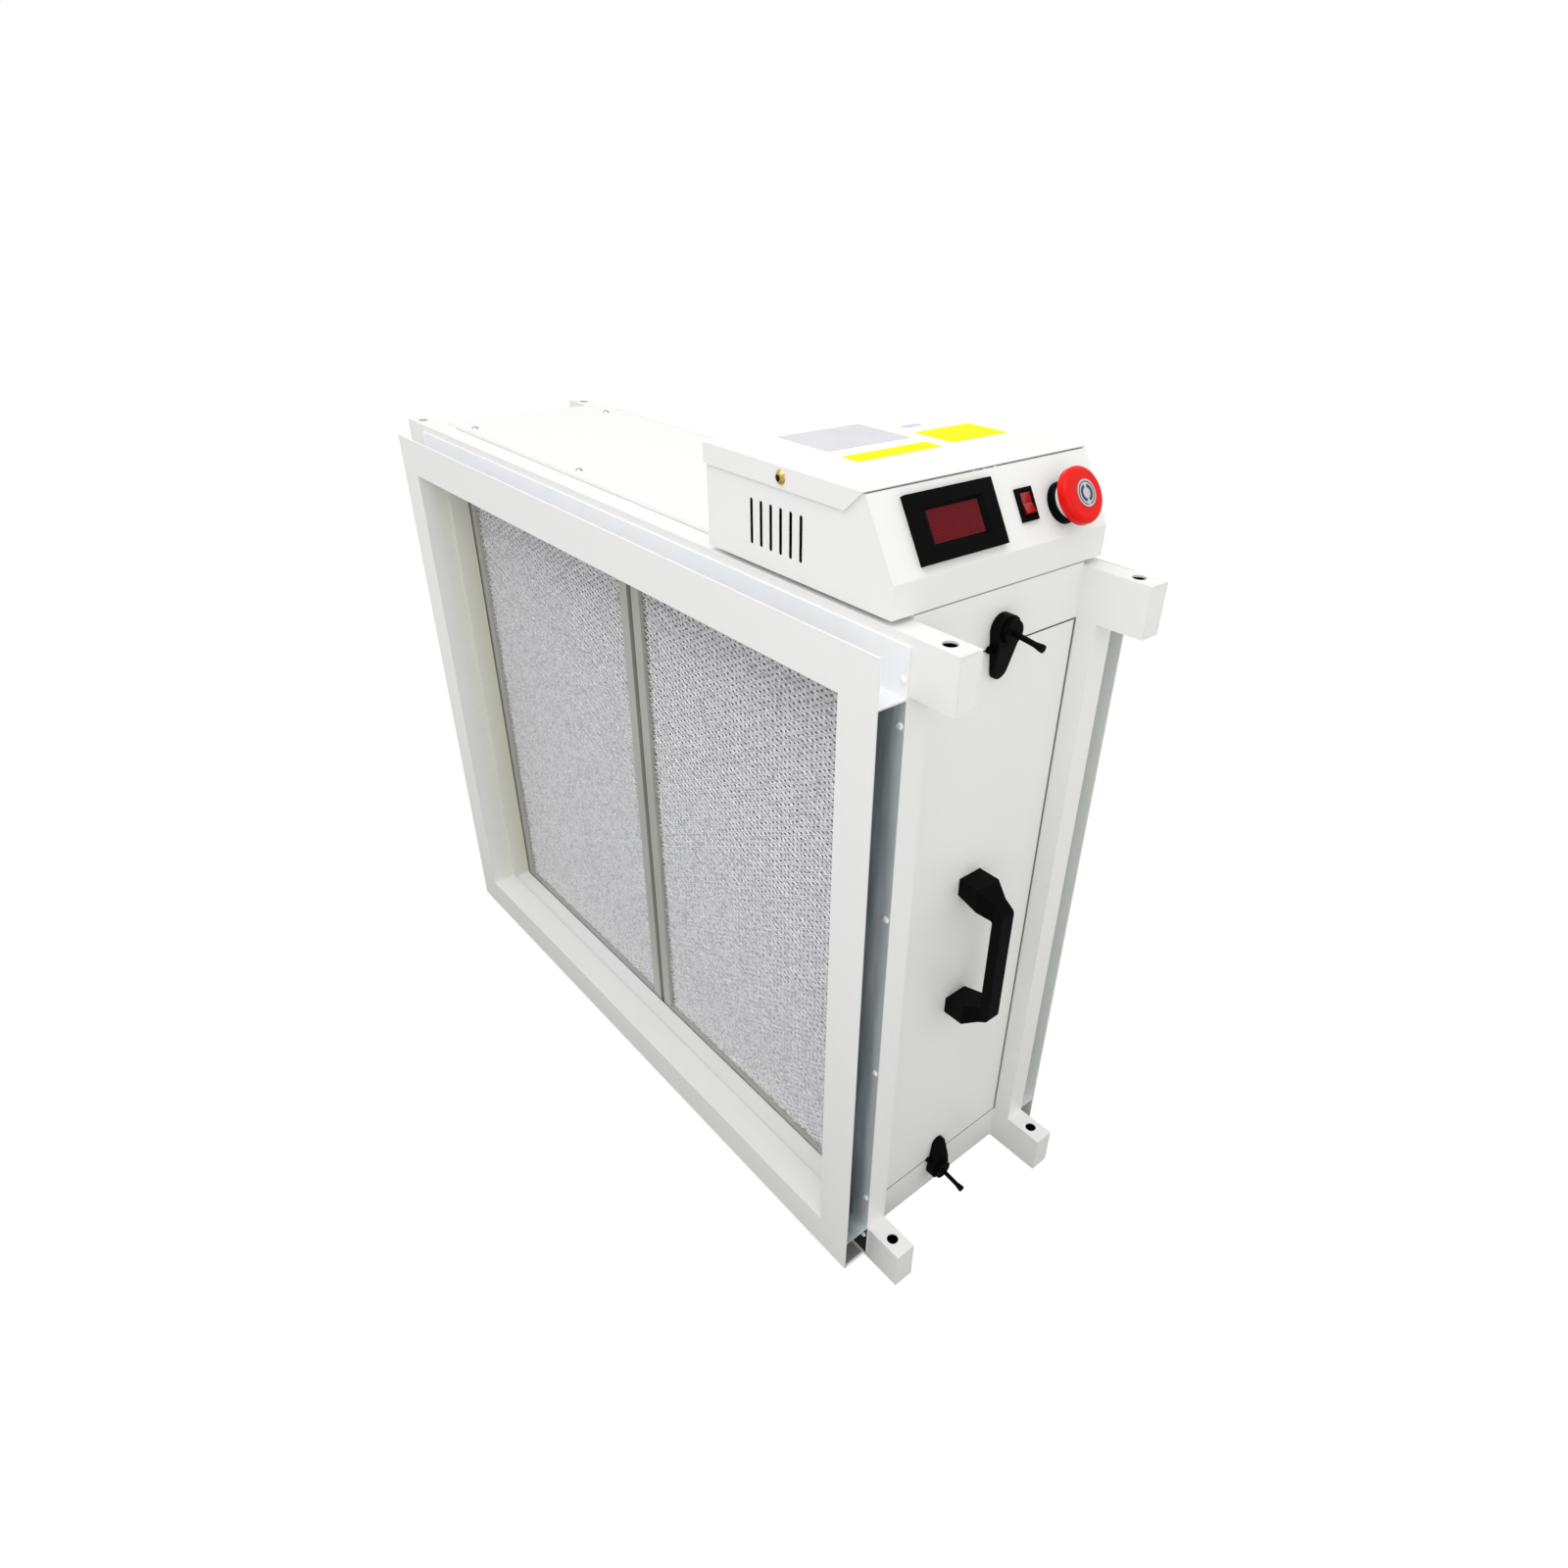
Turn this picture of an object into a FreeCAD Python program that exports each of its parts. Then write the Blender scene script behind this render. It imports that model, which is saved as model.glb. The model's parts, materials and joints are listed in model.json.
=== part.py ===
import FreeCAD, Part
import math
import os
import Sketcher

# Electrostatic filter unit for an air duct, in millimetres.
# X runs along the duct face, Y along the air flow from the front flange
# to the rear flange, Z up. The origin is the middle of the footprint at
# the height that the unit stands on. The service door is on the +X side.

doc = FreeCAD.newDocument("electrostatic_filter_unit")

SIZES = [
    # duct flanges
    ("flange_width", 700),
    ("flange_height", 572),
    ("lip_width", 34),
    ("collar_sheet", 1.5),
    ("front_collar_depth", 26),
    ("rear_collar_depth", 20),
    ("casing_depth", 205),
    # welded tube frame
    ("frame_height", 585),
    ("tube_wide", 38),
    ("tube_deep", 19),
    ("tube_wall", 1.5),
    ("bar_length", 774),
    ("bar_bore", 10),
    ("bar_bore_inset", 16.5),
    ("side_recess", 18),
    # sheet panels between the tubes
    ("panel_sheet", 1.5),
    ("panel_fit", 0.4),
    ("top_rise", 3.5),
    ("channel_lip", 16),
    ("side_pan_depth", 15),
    # rivets and screws
    ("rivet_head", 6),
    ("rivet_rise", 1.5),
    ("rivet_inset", 4),
    ("rivet_pitch", 149.5),
    ("rivet_row_inset", 22),
    ("rivet_lift", 9.75),
    ("panel_screw_head", 7),
    ("panel_screw_rise", 2),
    ("panel_screw_shank", 3.6),
    ("panel_screw_pitch", 205),
    ("panel_screw_first", 44),
    ("panel_screw_inset", 9.5),
    # service door
    ("door_gap", 1),
    ("door_rim", 14),
    ("gasket_width", 12),
    ("gasket_thick", 4.7),
    ("handle_length", 136),
    ("handle_width", 23),
    ("handle_grip_width", 13),
    ("handle_standoff", 41),
    ("handle_grip", 9.5),
    ("handle_foot", 15),
    ("handle_slant", 15),
    ("handle_inner_slant", 9.5),
    ("handle_square", 19),
    ("handle_round", 5),
    ("handle_screw", 5),
    ("handle_screw_depth", 10),
    ("handle_screw_inset", 7.5),
    ("handle_screw_cap", 3),
    # turn latches
    ("latch_inset", 25),
    ("latch_reach", 36),
    ("latch_width", 21.5),
    ("latch_tip_width", 13.5),
    ("latch_thick", 8),
    ("latch_tip_thick", 3),
    ("latch_shoulder", 10.5),
    ("latch_boss", 17),
    ("latch_boss_rise", 4),
    ("latch_pin", 4),
    ("latch_pin_length", 28),
    ("latch_pin_droop", 7),
    ("latch_knob", 5.6),
    ("latch_knob_length", 7),
    ("latch_knob_straight", 2),
    ("latch_lug", 5),
    ("latch_lug_drop", 13),
    ("latch_float", 0.3),
    ("stud_shank", 8),
    ("stud_depth", 9),
    ("stud_head", 14),
    ("stud_head_rise", 3),
    # washable mesh prefilters
    ("prefilter_setback", 1.5),
    ("prefilter_depth", 8),
    ("prefilter_rail", 12),
    ("prefilter_edge", 2.5),
    ("prefilter_gap", 7),
    ("mesh_setback", 3.5),
    ("mesh_thick", 1),
    ("mesh_columns", 10),
    ("mesh_rows", 12),
    ("mesh_open", 0.58),
    # electrostatic cells
    ("end_clearance", 0.5),
    ("cell_setback", 15),
    ("cell_depth", 145),
    ("cell_headroom", 3),
    ("cell_wall", 2),
    ("plate_thick", 1),
    ("plate_pitch", 22),
    ("plate_inset", 42),
    ("plate_depth", 96),
    ("charged_margin", 14),
    ("charged_extra", 4),
    ("bus_thick", 3),
    ("bus_width", 12),
    ("insulator_height", 12),
    ("insulator_width", 10),
    ("wire_thick", 1.2),
    ("wire_setback", 18),
    ("wire_count", 5),
    ("contact_width", 8),
    # power box on the top
    ("box_length", 182),
    ("box_sheet", 1.5),
    ("box_wall_height", 21.3),
    ("box_height", 68.8),
    ("slope_run", 27.5),
    ("lid_lip", 13.7),
    ("lid_chamfer", 15.5),
    ("lid_screw_head", 9.5),
    ("lid_screw_rise", 2.6),
    ("lid_screw_shank", 4),
    ("lid_screw_depth", 8),
    ("lid_screw_inset", 101.3),
    ("lid_screw_drop", 6.8),
    ("vent_count", 6),
    ("vent_pitch", 10),
    ("vent_width", 3),
    ("vent_height", 30),
    ("vent_rise", 12.8),
    ("vent_inset", 83),
    ("supply_length", 110),
    ("supply_depth", 120),
    ("supply_height", 44),
    ("supply_inset", 12),
    # meter, rocker switch and stop button on the slope
    ("meter_place", 62.75),
    ("meter_up", 26.9),
    ("meter_width", 75.5),
    ("meter_height", 42),
    ("meter_bezel", 4),
    ("meter_body_width", 66),
    ("meter_body_height", 32),
    ("meter_body_depth", 20),
    ("window_width", 45),
    ("window_height", 20.4),
    ("window_depth", 2.5),
    ("window_thick", 1.5),
    ("recess_width", 53),
    ("recess_height", 25),
    ("rocker_place", 129.2),
    ("rocker_up", 26.3),
    ("rocker_width", 15.5),
    ("rocker_height", 21.6),
    ("rocker_bezel", 2),
    ("rocker_body_width", 13.5),
    ("rocker_body_height", 18),
    ("rocker_body_depth", 14),
    ("rocker_wall", 2),
    ("rocker_slot_depth", 8),
    ("rocker_axis_depth", 2),
    ("rocker_crown", 3),
    ("rocker_dip", 1),
    ("paddle_foot", 3),
    ("rocker_tilt", 8),
    ("rocker_float", 0.3),
    ("stop_place", 164.5),
    ("stop_up", 21.8),
    ("stop_barrel", 22),
    ("stop_barrel_depth", 18),
    ("stop_collar", 28),
    ("stop_collar_rise", 5.5),
    ("stop_collar_edge", 1),
    ("stop_groove", 0.8),
    ("stop_groove_low", 1.8),
    ("stop_groove_high", 2.8),
    ("stop_well", 24.6),
    ("stop_plunger", 14),
    ("stop_plunger_low", 12),
    ("stop_skirt", 24),
    ("stop_skirt_low", 5.2),
    ("stop_neck_rise", 15),
    ("stop_head", 38),
    ("stop_head_low", 10),
    ("stop_head_top", 20.5),
    ("stop_head_flare", 4),
    ("stop_head_edge", 3),
    ("stop_head_round", 4),
    ("stop_disc", 18),
    ("stop_disc_thick", 0.8),
    ("stop_float", 0.3),
    ("cutout_fit", 0.2),
]

PLACES = [
    # along the air flow
    ("front", "-(Size.front_collar_depth + Size.casing_depth + Size.rear_collar_depth) / 2"),
    ("casing_front", "At.front + Size.front_collar_depth"),
    ("casing_rear", "At.casing_front + Size.casing_depth"),
    ("rear", "At.casing_rear + Size.rear_collar_depth"),
    ("inner_front", "At.casing_front + Size.tube_deep"),
    ("inner_rear", "At.casing_rear - Size.tube_deep"),
    ("middle", "(At.casing_front + At.casing_rear) / 2"),
    ("panel_front", "At.inner_front + Size.panel_fit"),
    ("panel_rear", "At.inner_rear - Size.panel_fit"),
    ("panel_depth", "At.panel_rear - At.panel_front"),
    # across
    ("flange_side", "Size.flange_width / 2"),
    ("side", "At.flange_side - Size.side_recess"),
    ("rail_side", "At.side - Size.tube_deep"),
    ("post_side", "At.flange_side - Size.tube_wide"),
    ("web_side", "At.flange_side - Size.lip_width"),
    ("bar_end", "Size.bar_length / 2"),
    ("bore_side", "At.bar_end - Size.bar_bore_inset"),
    # up
    ("low", "Size.tube_wide"),
    ("high", "Size.frame_height - Size.tube_wide"),
    ("flange_low", "(Size.frame_height - Size.flange_height) / 2"),
    ("flange_high", "At.flange_low + Size.flange_height"),
    ("web_low", "At.flange_low + Size.lip_width"),
    ("web_high", "At.flange_high - Size.lip_width"),
    ("top", "Size.frame_height + Size.top_rise"),
    ("post_height", "At.high - At.low"),
    ("web_height", "At.web_high - At.web_low"),
    # air space behind the side panel and the door
    ("space_left", "-At.side + Size.side_pan_depth + Size.end_clearance"),
    ("space_right", "At.side - Size.side_pan_depth - Size.gasket_thick - Size.end_clearance"),
    ("space_middle", "(At.space_left + At.space_right) / 2"),
    ("unit_length", "(At.space_right - At.space_left - Size.prefilter_gap) / 2"),
    ("unit_right", "At.space_middle + Size.prefilter_gap / 2"),
    # prefilters and cells
    ("prefilter_front", "At.inner_front + Size.prefilter_setback"),
    ("mesh_front", "At.prefilter_front + Size.mesh_setback"),
    ("mesh_length", "At.unit_length - 2 * Size.prefilter_rail"),
    ("prefilter_height", "At.post_height - Size.end_clearance"),
    ("mesh_low", "At.low + Size.prefilter_edge"),
    ("mesh_height", "At.prefilter_height - 2 * Size.prefilter_edge"),
    ("cell_front", "At.inner_front + Size.cell_setback"),
    ("cell_height", "At.post_height - Size.cell_headroom"),
    ("cell_inner_length", "At.unit_length - 2 * Size.cell_wall"),
    ("cell_inner_low", "At.low + Size.cell_wall"),
    ("cell_inner_height", "At.cell_height - 2 * Size.cell_wall"),
    ("plate_front", "At.cell_front + Size.plate_inset"),
    # turn latches
    ("latch_high", "Size.frame_height - Size.latch_inset"),
    ("latch_big", "Size.latch_width / 2"),
    ("latch_small", "Size.latch_tip_width / 2"),
    ("latch_span", "Size.latch_reach - At.latch_small"),
    ("latch_sine", "(At.latch_big - At.latch_small) / At.latch_span"),
    ("latch_cosine", "sqrt(1 - At.latch_sine * At.latch_sine)"),
    ("latch_face", "At.side + Size.latch_float"),
    # power box
    ("box_left", "At.side - Size.box_length"),
    ("bend", "At.top + Size.box_wall_height"),
    ("lid_top", "At.top + Size.box_height"),
    ("lid_right", "At.side - Size.slope_run"),
    ("slope_rise", "Size.box_height - Size.box_wall_height"),
    ("slope_angle", "atan(At.slope_rise / Size.slope_run)"),
    ("wall_rise", "Size.box_height - Size.box_sheet"),
    ("wall_back", "Size.slope_run * (At.wall_rise - Size.box_wall_height) / At.slope_rise"),
    ("wall_right", "Size.box_length - At.wall_back"),
    ("meter_y", "At.casing_front + Size.meter_place"),
    ("rocker_y", "At.casing_front + Size.rocker_place"),
    ("stop_y", "At.casing_front + Size.stop_place"),
]


def fill_sheet(name, rows, lead):
    sheet = doc.addObject("Spreadsheet::Sheet", name)
    for row, (alias, value) in enumerate(rows, 1):
        sheet.set(f"A{row}", alias)
        sheet.set(f"B{row}", lead + str(value))
        sheet.setAlias(f"B{row}", alias)
    doc.recompute()
    return sheet


size = fill_sheet("Size", SIZES, "")
at = fill_sheet("At", [(alias, text.replace("At.", "")) for alias, text in PLACES], "=")
AXES = ("x", "y", "z")


def number(sheet, alias):
    value = getattr(sheet, alias)
    return float(getattr(value, "Value", value))


def place(piece, low):
    """Tie the position of a piece to three expressions."""
    for axis, text in zip(AXES, low):
        piece.setExpression("Placement.Base." + axis, text)
    return piece


def box(name, low, span):
    """A block from its low corner and its three lengths."""
    piece = doc.addObject("Part::Box", name)
    for edge, text in zip(("Length", "Width", "Height"), span):
        piece.setExpression(edge, text)
    return place(piece, low)


TURNS = {
    "z": FreeCAD.Rotation(),
    "x": FreeCAD.Rotation(FreeCAD.Vector(0, 1, 0), 90),
    "y": FreeCAD.Rotation(FreeCAD.Vector(1, 0, 0), -90),
}


def rod(name, start, across, length, along="z"):
    """A round bar of a diameter, from its start along an axis."""
    piece = doc.addObject("Part::Cylinder", name)
    piece.setExpression("Radius", f"({across}) / 2")
    piece.setExpression("Height", length)
    piece.Placement.Rotation = TURNS[along]
    return place(piece, start)


def fuse(name, *pieces):
    piece = doc.addObject("Part::MultiFuse", name)
    piece.Shapes = list(pieces)
    return piece


def cut(name, base, *tools):
    """A piece less one or more others."""
    piece = doc.addObject("Part::Cut", name)
    piece.Base = base
    piece.Tool = tools[0] if len(tools) == 1 else fuse(name + "_tools", *tools)
    return piece


def bundle(name, pieces):
    """Several pieces, or one to be placed afresh, as one object."""
    piece = doc.addObject("Part::Compound", name)
    piece.Links = pieces
    return piece


def origin_plane(body, role):
    return [plane for plane in body.Origin.OriginFeatures if plane.Role == role][0]


def outline(body, role, corners):
    """A closed sketch of straight sides whose corners are tied to expressions."""
    sketch = body.newObject("Sketcher::SketchObject", body.Name + "_outline")
    sketch.AttachmentSupport = [(origin_plane(body, role), "")]
    sketch.MapMode = "FlatFace"
    count = len(corners)
    start = []
    for index in range(count):
        turn = 2 * math.pi * index / count
        start.append(FreeCAD.Vector(20 + 10 * math.cos(turn), 20 + 10 * math.sin(turn), 0))
    for index in range(count):
        sketch.addGeometry(Part.LineSegment(start[index], start[(index + 1) % count]), False)
    for index in range(count):
        sketch.addConstraint(Sketcher.Constraint("Coincident", index, 2, (index + 1) % count, 1))
    for index, corner in enumerate(corners):
        for kind, axis, text in (("DistanceX", -2, corner[0]), ("DistanceY", -1, corner[1])):
            if text == "0":
                sketch.addConstraint(Sketcher.Constraint("PointOnObject", index, 1, axis))
                continue
            row = sketch.addConstraint(Sketcher.Constraint(kind, -1, 1, index, 1, 10.0))
            label = f"{kind[-1]}{index}"
            sketch.renameConstraint(row, label)
            sketch.setExpression("Constraints." + label, text)
    return sketch


PUSHES = {"x": ("YZ_Plane", False), "y": ("XZ_Plane", True), "z": ("XY_Plane", False)}


def extrusion(name, along, corners, length, low):
    """A body with a straight-sided section, pushed out along an axis from its low corner."""
    body = doc.addObject("PartDesign::Body", name)
    role, back = PUSHES[along]
    sketch = outline(body, role, corners)
    pad = body.newObject("PartDesign::Pad", name + "_pad")
    pad.Profile = sketch
    pad.setExpression("Length", length)
    pad.Reversed = back
    return place(body, low)


def turned(name, corners, low):
    """A body of revolution about Z from corners given as radius and height."""
    body = doc.addObject("PartDesign::Body", name)
    sketch = outline(body, "XZ_Plane", corners)
    spin = body.newObject("PartDesign::Revolution", name + "_turn")
    spin.Profile = sketch
    spin.ReferenceAxis = (sketch, ["V_Axis"])
    spin.Angle = 360
    return place(body, low)


def round_edges(body, radius, wanted):
    """Round the edges of a body that a test picks out."""
    doc.recompute()
    tip = body.Tip
    names = []
    for index, edge in enumerate(tip.Shape.Edges, 1):
        if wanted(edge):
            names.append(f"Edge{index}")
    fillet = body.newObject("PartDesign::Fillet", f"{body.Name}_round_{len(body.Group)}")
    fillet.Base = (tip, names)
    fillet.setExpression("Radius", radius)
    return fillet


parts = []


def keep(piece, name):
    """Name a finished piece and put it on the list of sub-parts."""
    piece.Label = name
    parts.append(piece)
    return piece


# The casing is welded from one rectangular tube. Four long bars run across
# the front and the rear, with a plugged end and an upright bore at each end.
for face, back in (("front", "At.casing_front"), ("rear", "At.inner_rear")):
    for level, low in (("top", "At.high"), ("bottom", "0")):
        name = f"bar_{face}_{level}"
        solid = box(
            name + "_outer",
            ("-At.bar_end", back, low),
            ("Size.bar_length", "Size.tube_deep", "Size.tube_wide"),
        )
        hollow = box(
            name + "_inner",
            ("-At.bar_end", f"{back} + Size.tube_wall", f"{low} + Size.tube_wall"),
            ("Size.bar_length", "Size.tube_deep - 2 * Size.tube_wall", "Size.tube_wide - 2 * Size.tube_wall"),
        )
        bores = []
        for side, x in (("left", "-At.bore_side"), ("right", "At.bore_side")):
            start = (x, f"{back} + Size.tube_deep / 2", low)
            bores.append(rod(f"{name}_bore_{side}", start, "Size.bar_bore", "Size.tube_wide"))
        keep(cut(name + "_tube", solid, hollow, *bores), name)

# Posts of the same tube stand between the bars, flush with the flange edge.
for face, back in (("front", "At.casing_front"), ("rear", "At.inner_rear")):
    for side, x in (("left", "-At.flange_side"), ("right", "At.post_side")):
        name = f"post_{face}_{side}"
        solid = box(
            name + "_outer",
            (x, back, "At.low"),
            ("Size.tube_wide", "Size.tube_deep", "At.post_height"),
        )
        hollow = box(
            name + "_inner",
            (f"{x} + Size.tube_wall", f"{back} + Size.tube_wall", "At.low"),
            ("Size.tube_wide - 2 * Size.tube_wall", "Size.tube_deep - 2 * Size.tube_wall", "At.post_height"),
        )
        keep(cut(name + "_tube", solid, hollow), name)

# Cross rails join the front bars to the rear bars. The right-hand pair
# carries the studs of the door latches in a bore through the outer wall.
cross_depth = "At.inner_rear - At.inner_front"
for level, low, pivot in (("top", "At.high", "At.latch_high"), ("bottom", "0", "Size.latch_inset")):
    for side, x in (("left", "-At.side"), ("right", "At.rail_side")):
        name = f"cross_rail_{level}_{side}"
        solid = box(
            name + "_outer",
            (x, "At.inner_front", low),
            ("Size.tube_deep", cross_depth, "Size.tube_wide"),
        )
        hollow = box(
            name + "_inner",
            (f"{x} + Size.tube_wall", "At.inner_front", f"{low} + Size.tube_wall"),
            ("Size.tube_deep - 2 * Size.tube_wall", cross_depth, "Size.tube_wide - 2 * Size.tube_wall"),
        )
        tools = [hollow]
        if side == "right":
            start = ("At.side - Size.tube_wall", "At.middle", pivot)
            across = "Size.stud_shank + Size.cutout_fit"
            tools.append(rod(name + "_bore", start, across, "Size.tube_wall", "x"))
        keep(cut(name + "_tube", solid, *tools), name)

# Plugs close the ends of the four long bars.
plugs = []
for face, back in (("front", "At.casing_front"), ("rear", "At.inner_rear")):
    for level, low in (("top", "At.high"), ("bottom", "0")):
        for side, x in (("left", "-At.bar_end"), ("right", "At.bar_end - Size.tube_wall")):
            corner = (x, f"{back} + Size.tube_wall", f"{low} + Size.tube_wall")
            span = (
                "Size.tube_wall",
                "Size.tube_deep - 2 * Size.tube_wall",
                "Size.tube_wide - 2 * Size.tube_wall",
            )
            plugs.append(box(f"plug_{face}_{level}_{side}", corner, span))
keep(bundle("bar_end_group", plugs), "bar_end_plates")

# Each duct collar is four folded channels, open outward. The top and bottom
# ones run the full width, the side ones stand between their webs.
for face, start, depth in (
    ("front", "At.front", "Size.front_collar_depth"),
    ("rear", "At.casing_rear", "Size.rear_collar_depth"),
):
    skin = "Size.collar_sheet"
    inside = f"{depth} - Size.collar_sheet"
    lip = "Size.lip_width"
    across = [
        ("0", "0"),
        (depth, "0"),
        (depth, lip),
        (inside, lip),
        (inside, skin),
        (skin, skin),
        (skin, lip),
        ("0", lip),
    ]
    low_across = [
        ("0", "0"),
        (skin, "0"),
        (skin, "Size.lip_width - Size.collar_sheet"),
        (inside, "Size.lip_width - Size.collar_sheet"),
        (inside, "0"),
        (depth, "0"),
        (depth, lip),
        ("0", lip),
    ]
    name = f"collar_{face}_top"
    corner = ("-At.flange_side", start, "At.web_high")
    keep(extrusion(name + "_body", "x", across, "Size.flange_width", corner), name)
    name = f"collar_{face}_bottom"
    corner = ("-At.flange_side", start, "At.flange_low")
    keep(extrusion(name + "_body", "x", low_across, "Size.flange_width", corner), name)
    right_plan = [(v, u) for u, v in across]
    left_plan = [(v, u) for u, v in low_across]
    name = f"collar_{face}_right"
    corner = ("At.web_side", start, "At.web_low")
    keep(extrusion(name + "_body", "z", right_plan, "At.web_height", corner), name)
    name = f"collar_{face}_left"
    corner = ("-At.flange_side", start, "At.web_low")
    keep(extrusion(name + "_body", "z", left_plan, "At.web_height", corner), name)


def pan(name, low, span, sheet, open_side):
    """A shallow folded pan with its open side towards -z or -x or +x."""
    solid = box(name + "_outer", low, span)
    inner_low = [f"{text} + {sheet}" for text in low]
    inner_span = [f"{text} - 2 * {sheet}" for text in span]
    axis = AXES.index(open_side[-1])
    inner_span[axis] = f"{span[axis]} - {sheet}"
    if open_side[0] == "-":
        inner_low[axis] = low[axis]
    return cut(name + "_pan", solid, box(name + "_inner", inner_low, inner_span))


# Sheet panels close the top, the left side and the floor. The ceiling and
# the floor of the air space are channels whose lips carry the outer sheets.
panel_span = "2 * At.side"
corner = ("-At.side", "At.panel_front", "Size.frame_height")
top_pan = pan("top_panel", corner, (panel_span, "At.panel_depth", "Size.top_rise"), "Size.panel_sheet", "-z")
screw_rows = []
for reach in (
    "-At.side + Size.panel_screw_first",
    "-At.side + Size.panel_screw_first + Size.panel_screw_pitch",
    "At.side - Size.panel_screw_first",
):
    for y in ("At.panel_front + Size.panel_screw_inset", "At.panel_rear - Size.panel_screw_inset"):
        screw_rows.append((reach, y))
holes = []
for index, (x, y) in enumerate(screw_rows):
    start = (x, y, "At.top - Size.panel_sheet")
    across = "Size.panel_screw_shank + Size.cutout_fit"
    holes.append(rod(f"top_panel_hole_{index}", start, across, "Size.panel_sheet"))
keep(cut("top_panel_drilled", top_pan, *holes), "top_panel")

ceiling_rise = "Size.tube_wide + Size.top_rise - Size.panel_sheet"
ceiling_front = "At.panel_front + Size.panel_sheet"
ceiling_depth = "At.panel_depth - 2 * Size.panel_sheet"
channel_x = "-At.rail_side + Size.end_clearance"
channel_span = "2 * At.rail_side - 2 * Size.end_clearance"
solid = box(
    "ceiling_outer",
    (channel_x, ceiling_front, "At.high"),
    (channel_span, ceiling_depth, ceiling_rise),
)
hollow = box(
    "ceiling_inner",
    (channel_x, f"{ceiling_front} + Size.panel_sheet", "At.high + Size.panel_sheet"),
    (channel_span, f"{ceiling_depth} - 2 * Size.panel_sheet", f"{ceiling_rise} - 2 * Size.panel_sheet"),
)
mouth = box(
    "ceiling_mouth",
    (channel_x, f"{ceiling_front} + Size.channel_lip", "At.high + Size.panel_sheet"),
    (channel_span, f"{ceiling_depth} - 2 * Size.channel_lip", ceiling_rise),
)
holes = []
for index, (x, y) in enumerate(screw_rows):
    start = (x, y, "At.top - 2 * Size.panel_sheet")
    across = "Size.panel_screw_shank + Size.cutout_fit"
    holes.append(rod(f"ceiling_hole_{index}", start, across, "Size.panel_sheet"))
keep(cut("ceiling_channel", solid, hollow, mouth, *holes), "ceiling_panel")

solid = box(
    "floor_outer",
    (channel_x, "At.panel_front", "Size.panel_sheet"),
    (channel_span, "At.panel_depth", "At.low - Size.panel_sheet"),
)
hollow = box(
    "floor_inner",
    (channel_x, "At.panel_front + Size.panel_sheet", "2 * Size.panel_sheet"),
    (channel_span, "At.panel_depth - 2 * Size.panel_sheet", "At.low - 3 * Size.panel_sheet"),
)
mouth = box(
    "floor_mouth",
    (channel_x, "At.panel_front + Size.channel_lip", "0"),
    (channel_span, "At.panel_depth - 2 * Size.channel_lip", "At.low - Size.panel_sheet"),
)
keep(cut("floor_channel", solid, hollow, mouth), "floor_panel")
corner = (channel_x, "At.panel_front", "0")
span = (channel_span, "At.panel_depth", "Size.panel_sheet")
keep(box("bottom_sheet", corner, span), "bottom_panel")
corner = ("-At.side", "At.panel_front", "At.low + Size.panel_fit")
span = ("Size.side_pan_depth", "At.panel_depth", "At.post_height - 2 * Size.panel_fit")
keep(pan("left_panel", corner, span, "Size.panel_sheet", "+x"), "left_panel")


def pan_head(name, x, y, z, head, rise, shank, depth, direction):
    """A screw: a domed head on a shank, made about Z and turned to its direction."""
    radius = head / 2
    cap = Part.makeSphere((radius * radius + rise * rise) / (2 * rise))
    cap.translate(FreeCAD.Vector(0, 0, rise - cap.BoundBox.ZMax))
    cap = cap.common(Part.makeCylinder(radius * 2, rise))
    solid = cap.fuse(Part.makeCylinder(shank / 2, depth + 0.01, FreeCAD.Vector(0, 0, -depth)))
    turn = FreeCAD.Rotation(FreeCAD.Vector(0, 0, 1), direction)
    solid.Placement = FreeCAD.Placement(FreeCAD.Vector(x, y, z), turn)
    return solid.removeSplitter()


def group(name, solids):
    """One node of several equal loose pieces."""
    piece = doc.addObject("Part::Feature", name)
    piece.Shape = Part.makeCompound(solids)
    return keep(piece, name)


# Screws hold the top sheet to the lips of the ceiling channel. The two at
# the right-hand end lie under the power box and are flush there.
sheet = number(size, "panel_sheet")
top = number(at, "top")
first = number(at, "side") - number(size, "panel_screw_first")
pitch = number(size, "panel_screw_pitch")
rows = (
    number(at, "panel_front") + number(size, "panel_screw_inset"),
    number(at, "panel_rear") - number(size, "panel_screw_inset"),
)
shank = number(size, "panel_screw_shank")
box_left = number(at, "box_left")
solids = []
for x in (-first, pitch - first, first):
    for y in rows:
        if x < box_left:
            head = number(size, "panel_screw_head")
            rise = number(size, "panel_screw_rise")
            solids.append(pan_head("screw", x, y, top, head, rise, shank, 3 * sheet, FreeCAD.Vector(0, 0, 1)))
        else:
            solids.append(Part.makeCylinder(shank / 2, 3 * sheet, FreeCAD.Vector(x, y, top - 3 * sheet)))
group("panel_screws", solids)

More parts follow.
